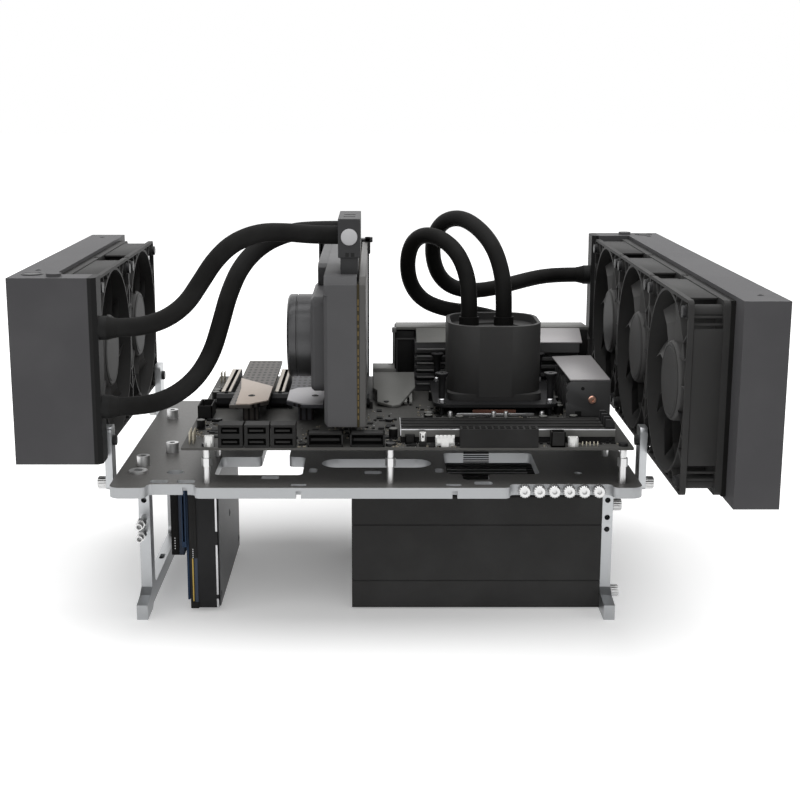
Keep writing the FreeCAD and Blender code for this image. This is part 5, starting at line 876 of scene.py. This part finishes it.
# %% Board connectors
BOARD_TOP = 138.4
FRONT = -89.8
shape = bmesh.new()
add_mouth(shape, (-46.2, FRONT + 2, BOARD_TOP), (-22.0, FRONT + 11, BOARD_TOP + 9.6))
add_mouth(shape, (-17.4, FRONT + 2, BOARD_TOP), (6.1, FRONT + 11, BOARD_TOP + 9.6))
add_tray(shape, (118.0, FRONT + 1, BOARD_TOP), (127.6, FRONT + 9, BOARD_TOP + 10.4), 0.9)
add_tray(shape, (-129.9, -6, BOARD_TOP), (-119.4, 18, BOARD_TOP + 10), 1.0)
add_tray(shape, (20.0, -80, BOARD_TOP), (26.5, -76, BOARD_TOP + 6), 0.8)
keep(shape, "black_headers", "socket_moulding", replaces=["board_headers"])
shape = bmesh.new()
WHITE = [(-115.7, 2, 6.4, 5.0, 7.2), (29.6, 4, 4.3, 5.0, 9.0), (40.2, 2, 12.9, 6.0, 6.4), (129.7, 2, 6.7, 5.0, 6.4)]
for x, inset, wide, deep, tall in WHITE:
    low = (x, FRONT + inset, BOARD_TOP)
    add_tray(shape, low, (x + wide, FRONT + inset + deep, BOARD_TOP + tall), 1.0, 3.0)
    add_block(shape, (x + wide * 0.3, FRONT + inset - 0.5, BOARD_TOP), (x + wide * 0.7, FRONT + inset, BOARD_TOP + tall - 2), 0.15, 1)
for tooth in range(5):
    left = 40.2 + tooth * 2.7
    add_block(shape, (left, FRONT + 2.0, BOARD_TOP + 6.0), (left + 2.1, FRONT + 3.0, BOARD_TOP + 8.2), 0.15, 1)
keep(shape, "white_headers", "pale_moulding")
shape = bmesh.new()
add_block(shape, (29.2, FRONT + 2.8, BOARD_TOP), (34.3, FRONT + 3.9, BOARD_TOP + 3.6), 0.2, 1)
add_block(shape, (31.2, FRONT + 3.3, BOARD_TOP + 6.0), (32.2, FRONT + 3.9, BOARD_TOP + 7.4), 0.1, 1)
keep(shape, "header_base", "socket_moulding")
# The two free card slots wear a pale metal sleeve along their groove.
shape = bmesh.new()
for x in (-113.35, -72.71):
    add_block(shape, (x - 4.05, 38.6, 139.0), (x - 3.75, 126.4, 149.9), 0.1, 1)
    add_block(shape, (x - 4.05, 38.6, 149.5), (x - 1.2, 126.4, 149.9), 0.1, 1)
    add_block(shape, (x + 1.2, 38.6, 149.5), (x + 3.2, 126.4, 149.9), 0.1, 1)
keep(shape, "slot_sleeves", "slot_armour")
shape = bmesh.new()
for x, inset, wide, deep, tall in WHITE:
    add_pins(shape, x + 1.8, FRONT + inset + deep / 2, BOARD_TOP, max(1, int((wide - 2) / 2)), 1, 2.0, tall - 1.5)
add_pins(shape, -126.5, -80, BOARD_TOP, 2, 6, 2.54, 8.6)
add_pins(shape, 120.4, FRONT + 3.6, BOARD_TOP, 3, 2, 2.54, 8.0)
add_pins(shape, -127.0, 124, BOARD_TOP, 2, 5, 2.54, 8.6)
add_pins(shape, 139.5, FRONT + 4, BOARD_TOP, 5, 1, 2.54, 3.4)
add_pins(shape, 22.0, -78, BOARD_TOP, 2, 1, 2.54, 5.6)
keep(shape, "header_pins", "gold_contact")
shape = bmesh.new()
add_block(shape, (17.2, -76.3, 147.3), (163.2, -75.2, 148.0), 0.1, 1)
add_block(shape, (16.6, -76.2, 143.4), (17.3, -41.0, 148.0), 0.1, 1)
add_block(shape, (59.5, 2.6, 138.8), (116.8, 4.6, 141.0), 0.3)
add_block(shape, (59.5, 86.0, 138.8), (116.8, 88.0, 141.0), 0.3)
keep(shape, "socket_shields", "shell_steel")
shape = bmesh.new()
add_block(shape, (17.2, -76.1, 142.6), (163.2, -75.6, 147.4), 0.1, 1)
keep(shape, "memory_shield_face", "plate_grey")
shape = bmesh.new()
add_block(shape, (71.3, 3.0, 141.2), (103.2, 5.0, 143.6), 0.2, 1)
keep(shape, "cold_plate_edge", "dark_copper")
shape = bmesh.new()
SCREW_HEAD = [(1.9, 0), (1.9, 3.6), (1.5, 4.4), (0.6, 4.7)]
for x, y in ((54.6, 1.4), (86.6, 1.4), (95.7, 1.4), (122.2, 1.4), (55, 90), (122, 90)):
    add_turned(shape, (x, y, 138.4), "z", SCREW_HEAD, sides=20)
keep(shape, "socket_screws", "bright_screw")

# %% [markdown]
# The pump block reaches lower than its flange, down to the copper plate. Its
# skirt is a rounded outline raised a few millimetres. The four posts at its
# corners are turned, with a wide head, a slim body and a bright spring below.

# %% Pump skirt and cooler posts


def rounded_outline(x0, x1, y0, y1, radius, steps=6):
    """The corners of a rounded rectangle, one quarter circle after another."""
    points = []
    middles = ((x1 - radius, y1 - radius), (x0 + radius, y1 - radius), (x0 + radius, y0 + radius), (x1 - radius, y0 + radius))
    for quarter, (x, y) in enumerate(middles):
        for step in range(steps + 1):
            turn = math.radians(90 * (quarter + step / steps))
            points.append((x + radius * math.cos(turn), y + radius * math.sin(turn)))
    return points


pump_low, pump_high = (tuple(value / MM for value in corner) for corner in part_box("pump_housing"))
PUMP_SKIRT_LOW = 145.4
shape = bmesh.new()
outline = rounded_outline(pump_low[0] + 0.1, pump_high[0] - 0.1, pump_low[1] + 0.1, pump_high[1] - 0.1, 9.0)
add_prism(shape, outline, pump_low[2] + 3.0, PUMP_SKIRT_LOW - pump_low[2] - 3.0, soft=0.6)
keep(shape, "pump_skirt", "pump_moulding")
POSTS = [(48.6, 8), (128.6, 8), (48.6, 88), (128.6, 88)]
POST_FOOT = 151.5
shape = bmesh.new()
for x, y in POSTS:
    add_turned(
        shape, (x, y, POST_FOOT), "z", [(2.3, 0), (2.5, 9), (3.0, 15), (4.9, 17.6), (5.0, 18.6), (4.6, 19.0), (1.5, 19.0), (1.3, 18.2)]
    )
    add_turned(shape, (x, y, 138.4), "z", [(1.7, 0), (1.7, 13.2)], sides=20)
keep(shape, "cooler_posts", "dark_screw", replaces=["cooler_screws"])
shape = bmesh.new()
COIL = [(2.1, 0)] + [(2.1 + 0.8 * (step % 2), 0.4 + 0.6 * step) for step in range(8)] + [(2.1, 5.4)]
for x, y in POSTS:
    add_turned(shape, (x, y, POST_FOOT - 5.6), "z", COIL, sides=24)
keep(shape, "cooler_springs", "shell_steel")

# %% [markdown]
# A bare board looks empty, so several hundred tiny parts are scattered over the
# free places. The positions are random but seeded, so each run is the same.

# %% Small parts on the board
random.seed(7)
TAKEN = [
    (-108, -53, -90, -74),
    (-47, 7, -90, -78),
    (56, 111, -92, -78),
    (117, 137, -92, -80),
    (16, 171, -77, -38),
    (-117, -108, -90, -82),
    (-24, -3, 10, 40),
    (-128, -100, 12, 42),
]
ZONES = [
    (-129, -114, -62, -10, 60),
    (-129, -119, 22, 118, 60),
    (-108, -40, -72, -30, 70),
    (-53, -47, -89, -74, 14),
    (7, 29, -89, -66, 60),
    (34, 56, -89, -79, 30),
    (110, 118, -89, -79, 10),
    (137, 172, -82, -78, 20),
    (-34, 12, -76, 30, 150),
    (30, 50, -30, 40, 60),
    (52, 128, -36, 4, 90),
    (128, 146, -30, 60, 40),
]


def free(x, y):
    return not any(a <= x <= b and c <= y <= d for a, b, c, d in TAKEN)


def scatter(shape, share, sizes, tall):
    """Little boxes at free places, most of them square to the board."""
    for x0, x1, y0, y1, count in ZONES:
        for _ in range(int(count * share)):
            x, y = random.uniform(x0, x1), random.uniform(y0, y1)
            wide, deep = random.choice(sizes)
            if random.random() < 0.5:
                wide, deep = deep, wide
            if free(x, y):
                add_block(shape, (x, y, BOARD_TOP), (x + wide, y + deep, BOARD_TOP + random.uniform(*tall)), 0)


shape = bmesh.new()
scatter(shape, 0.5, [(1.6, 0.8), (1.0, 0.5), (2.0, 1.2)], (0.4, 0.9))
keep(shape, "small_parts_tan", "part_tan")
shape = bmesh.new()
scatter(shape, 0.45, [(0.5, 0.9), (0.4, 0.4), (0.35, 1.4), (0.7, 0.7)], (0.15, 0.5))
keep(shape, "solder_pads", "shell_steel")
shape = bmesh.new()
scatter(shape, 0.3, [(3.0, 2.0), (4.2, 4.2), (2.2, 1.4), (6.0, 4.0)], (0.7, 1.2))
keep(shape, "small_chips", "chip_black")
shape = bmesh.new()
tops = bmesh.new()
CANS = [(-124, -36), (-124, 60), (-124, 68), (12, -62), (38, -20), (38, -12), (44, 60), (136, 12), (136, 20)]
CANS += [(136, 40), (142, -22), (60, -24), (120, -24)]
for x, y in CANS:
    add_turned(shape, (x, y, BOARD_TOP), "z", [(3.3, 0), (3.3, 0.8), (2.9, 1.0), (3.1, 1.4), (3.1, 6.6)], 28)
    add_turned(tops, (x, y, BOARD_TOP + 6.6), "z", [(2.9, 0), (2.8, 0.35), (2.4, 0.45)], 28)
keep(shape, "capacitor_cans", "can_sleeve")
keep(tops, "capacitor_tops", "plate_grey")

# %% [markdown]
# The rear of the board carries the tallest covers. Fins, a slab and an end plate
# go over the plain CAD volumes, with a copper screw in the side heatsink.

# %% Rear covers and heatsinks
shape = bmesh.new()
for step in range(6):
    add_block(shape, (32.7, 92.6, 143.6 + step * 5.6), (56.5, 96.0, 144.9 + step * 5.6), 0.2)
add_block(shape, (13.6, 110.0, 150.0), (15.4, 117.0, 186.6), 0.4)
add_block(shape, (13.0, 109.0, 183.2), (16.5, 113.4, 187.0), 0.4)
add_block(shape, (13.0, 109.4, 150.0), (16.5, 113.4, 152.8), 0.4)
keep(shape, "rear_fins", "fin_grey")
shape = bmesh.new()
add_prism(shape, [(94.8, 176.9), (113.0, 185.4), (113.0, 186.4), (94.8, 177.9)], 128.6, 35.4, axis="x")
keep(shape, "rear_slab_pale", "slab_pale")
shape = bmesh.new()
add_prism(shape, [(94.8, 176.9), (113.0, 185.4), (113.0, 186.4), (94.8, 177.9)], 32.4, 24.0, axis="x")
add_prism(shape, [(150.6, 183.7), (150.6, 184.9), (113.4, 187.0), (113.4, 184.6)], 16.4, 155.0, axis="x", soft=0.3)
keep(shape, "rear_slab_grey", "plate_grey")
shape = bmesh.new()
add_block(shape, (15.4, 113.6, 142.0), (31.2, 150.0, 183.6), 0.3)
add_block(shape, (163.4, 112.8, 150.0), (170.6, 150.0, 184.6), 0.3)
keep(shape, "rear_shell", "chip_black")
# The side heatsink has a pale top plate and a notched front plate.
SIDE_FRONT = [(138.6, 140.8), (138.4, 150), (140.0, 151.4), (138.6, 153), (138.4, 157.3), (140.1, 159.5), (138.2, 161.7)]
SIDE_FRONT += [(141.8, 166.6), (170.6, 166.6), (170.6, 140.8)]
shape = bmesh.new()
add_prism(shape, SIDE_FRONT, -5.0, -1.3, axis="y", soft=0.2)
for step in range(6):
    add_block(shape, (141.5, 0 + step * 15, 140.0), (147.4, 8 + step * 15, 163.0 - (step % 2) * 3), 0.3)
keep(shape, "side_sink_front", "sink_anodised")
shape = bmesh.new()
add_prism(shape, [(141.1, -5.4), (139.0, 84.8), (159.0, 89.5), (170.4, 89.5), (170.4, -5.4)], 167.3, 0.9)
keep(shape, "side_sink_top", "slab_pale")
shape = bmesh.new()
SCREW_CUP = [(2.9, 0), (2.9, 1.0), (2.4, 1.4), (1.2, 1.4), (1.0, 0.8)]
add_turned(shape, (157.5, -6.2, 153.2), "-y", SCREW_CUP)
keep(shape, "copper_screw", "copper")
shape = bmesh.new()
add_turned(shape, (150.5, -6.2, 161.4), "-y", [(1.3, -0.2), (1.3, 0.12), (1.0, 0.15)])
add_block(shape, (145.4, -6.45, 140.8), (149.9, -6.2, 144.6), 0.05, 1)
keep(shape, "side_sink_holes", "can_sleeve")

# %% [markdown]
# The graphics card shows its layers from the front: shroud, board, backplate.
# The little parts here are the terminal's pale cap and the marks round it.

# %% Graphics card
CARD_TOP = 252.4
CARD_BACK = 143.0
RIDGE = [(-81.9, 240.0), (-81.9, 246.8), (-77.0, CARD_TOP), (CARD_BACK, CARD_TOP), (CARD_BACK, 240.0)]
shape = bmesh.new()
add_prism(shape, RIDGE, -34.6, 22.0, axis="x", soft=0.4)
add_prism(shape, [(0, 236), (0, 249), (6, 251.4), (140, 251.4), (140, 236)], -41.6, 7.4, axis="x", soft=0.8)
keep(shape, "card_ridge", "card_paint")
shape = bmesh.new()
add_prism(shape, RIDGE, -10.9, 4.1, axis="x", soft=0.3)
keep(shape, "card_back_ridge", "card_backplate")
shape = bmesh.new()
add_prism(shape, [(-80, 240.0), (-80, 246.0), (CARD_BACK, 246.0), (CARD_BACK, 240.0)], -12.5, 1.5, axis="x", soft=0.1)
keep(shape, "card_board_ridge", "card_laminate")
shape = bmesh.new()
TERMINAL_CAP = [(5.5, 0.0), (5.5, 0.9), (5.1, 1.2), (0.4, 1.25)]
add_turned(shape, (-17.8, -67.0, 277.5), "-y", TERMINAL_CAP)
keep(shape, "terminal_cap", "cap_grey")
shape = bmesh.new()
for x in (-20.4, -16.7):
    add_block(shape, (x, -67.15, 264.3), (x + 2.4, -66.9, 267.0), 0.05, 1)
for y in (-52.0, -16.0):
    add_turned(shape, (-17.9, y, 289.35), "z", [(3.2, 0), (3.2, 0.13), (2.6, 0.14)])
keep(shape, "terminal_marks", "chip_black")
shape = bmesh.new()
z = 156.0
while z < 240.0:
    tall = random.uniform(1.2, 4.2)
    add_block(shape, (-12.3, -82.06, z), (-11.3, -81.9, z + tall), 0)
    z += tall + random.uniform(0.8, 3.5)
keep(shape, "card_edge_contacts", "edge_gold")
shape = bmesh.new()
add_block(shape, (-8.9, 143.0, 242.6), (-4.4, 150.0, 256.0), 0.5)
add_block(shape, (-8.9, 143.0, 252.0), (-2.6, 150.0, 256.0), 0.5)
add_block(shape, (-45.7, 146.0, 235.3), (-35.3, 149.0, 236.8), 0.3)
add_block(shape, (-45.7, 146.0, 235.3), (-43.2, 149.0, 253.0), 0.3)
add_block(shape, (-38.4, 146.0, 235.3), (-35.3, 149.0, 253.0), 0.3)
add_block(shape, (-45.7, 146.0, 241.8), (-35.3, 149.0, 253.0), 0.3)
keep(shape, "card_latch", "dark_screw")
# The round pump on the card is one smooth turned cover with a single groove.
PUCK = [(29.4, 0), (29.4, 10.0), (28.8, 10.3), (28.8, 10.9), (29.4, 11.2), (29.4, 15.4), (28.6, 16.6), (27.0, 17.4)]
PUCK += [(24.0, 17.4), (23.6, 16.9), (0.5, 16.9)]
shape = bmesh.new()
add_turned(shape, (-44.35, -20.0, 203.2), "-x", PUCK, sides=96)
keep(shape, "card_pump_cover", "puck_anodised", replaces=["graphics_pump"])

# %% [markdown]
# The hoses go into short rubber cuffs on the radiators. Each cuff is one turned
# profile that swallows the metal barb and tapers to the hose.

# %% Hose cuffs
CUFF = [(7.0, 0), (7.9, 0.3), (7.9, 5.0), (7.5, 6.2), (6.9, 8.6), (6.5, 11.0)]
shape = bmesh.new()
for z in (166.4, 219.7):
    add_turned(shape, (-182.1, -88.0, z), "x", CUFF, sides=48)
    add_turned(shape, (182.1, 189.55, z), "-x", CUFF, sides=48)
keep(shape, "hose_cuffs", "soft_rubber")

# %% [markdown]
# The drives show their connector sides to the front. Thin blocks, a coloured
# board edge and a bright cover rim stand on the CAD's plain faces.

# %% Drives
shape = bmesh.new()
add_block(shape, (-134.8, -36.2, 42.0), (-129.6, -34.9, 104.8), 0.3)
add_block(shape, (-134.9, -35.9, 3.5), (-128.8, -34.9, 8.5), 0.5)
add_block(shape, (-151.6, -10.1, 36.0), (-146.0, -8.9, 104.9), 0.3)
keep(shape, "drive_connectors", "socket_moulding")
shape = bmesh.new()
for low, high, x in ((70, 100, -132.9), (50, 66, -132.9)):
    add_block(shape, (x, -36.35, low), (x + 1.2, -36.1, high), 0.05, 1)
for low, high in ((74, 101), (54, 70)):
    add_block(shape, (-149.6, -10.25, low), (-148.4, -10.0, high), 0.05, 1)
keep(shape, "connector_slots", "can_sleeve")
shape = bmesh.new()
for step in range(5):
    add_block(shape, (-132.6, -36.4, 42.6 + step * 1.5), (-132.0, -36.1, 43.3 + step * 1.5), 0)
    add_block(shape, (-149.2, -10.3, 40.6 + step * 2.0), (-148.6, -10.0, 41.4 + step * 2.0), 0)
keep(shape, "connector_pins", "shell_steel")
shape = bmesh.new()
add_block(shape, (-131.6, -35.5, 8.0), (-129.3, -34.9, 42.0), 0.1, 1)
add_block(shape, (-145.8, -9.6, 35.6), (-142.2, -8.9, 104.9), 0.3)
keep(shape, "blue_edges", "drive_blue")
shape = bmesh.new()
add_block(shape, (-133.2, -35.5, 9.0), (-132.3, -34.9, 42.0), 0.1, 1)
keep(shape, "yellow_edge", "yellow_lead")
shape = bmesh.new()
for low, high in ((62.0, 104.8), (14.0, 52.0), (4.0, 11.0)):
    add_block(shape, (-116.0, -35.5, low), (-114.4, -34.9, high), 0.2, 1)
keep(shape, "drive_cover_rim", "shell_steel")
drive_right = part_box("hard_drive")[1][0] / MM
shape = bmesh.new()
add_block(shape, (drive_right - 0.3, -33.0, 4.5), (drive_right + 0.4, 110.0, 104.0), 0.15, 1)
for y, z in ((-27, 12), (-27, 96), (104, 12), (104, 96), (38, 54)):
    add_turned(shape, (drive_right + 0.3, y, z), "x", [(2.6, 0), (2.6, 0.5), (1.4, 0.6), (1.2, 0.2)], 24)
keep(shape, "drive_lid", "lid_grey")
print("drive right", round(drive_right, 2))
# Through the plate's front opening the supply's vent shows thin bright lines; its bars are painted pale for them, a
# painted highlight.
supply_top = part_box("supply_case")[1][2] / MM
shape = bmesh.new()
for level in (-26.0, -34.5):
    y = level + 3.67 * (105.6 - supply_top)
    add_block(shape, (55.0, y - 0.6, supply_top - 0.3), (116.0, y + 0.6, supply_top + 0.7), 0.1, 1)
keep(shape, "supply_vent_painted_highlights", "cap_grey")
shape = bmesh.new()
add_block(shape, (64.6, -3.8, 104.9), (83.0, -2.4, 113.4), 0.2, 1)
for step in range(5):
    low = 105.3 + step * 1.65
    add_block(shape, (64.4, -4.6, low), (83.2, -3.4, low + 0.8), 0.2, 1)
keep(shape, "ribbed_pad", "latch_moulding")
print("supply top", round(supply_top, 2))

# %% [markdown]
# The radiators' tops carry two small screws each and one filling plug. They are
# low turned discs that sink a little into the paint.

# %% Radiator screws
CAD_PLUG_TALL = 2.0
paint_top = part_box("right_radiator")[1][2] / MM - CAD_PLUG_TALL
shape = bmesh.new()
for x, y in ((-229.0, -55.5), (-228.0, 166.1), (228.7, 173.4), (228.5, -176.2)):
    add_turned(shape, (x, y, paint_top - 0.2), "z", [(1.9, 0), (1.9, 0.5), (1.2, 0.52), (1.0, 0.3)], 24)
for x, y in ((-227.9, -78.0), (227.2, 189.3)):
    profile = [(7.2, 0), (7.2, 0.6), (6.6, 0.75), (6.3, 0.5), (5.6, 0.5), (5.4, 0.7)]
    add_turned(shape, (x, y, paint_top - 0.2), "z", profile, 48)
keep(shape, "radiator_plugs", "dark_screw")
print("radiator paint top", round(paint_top, 2))
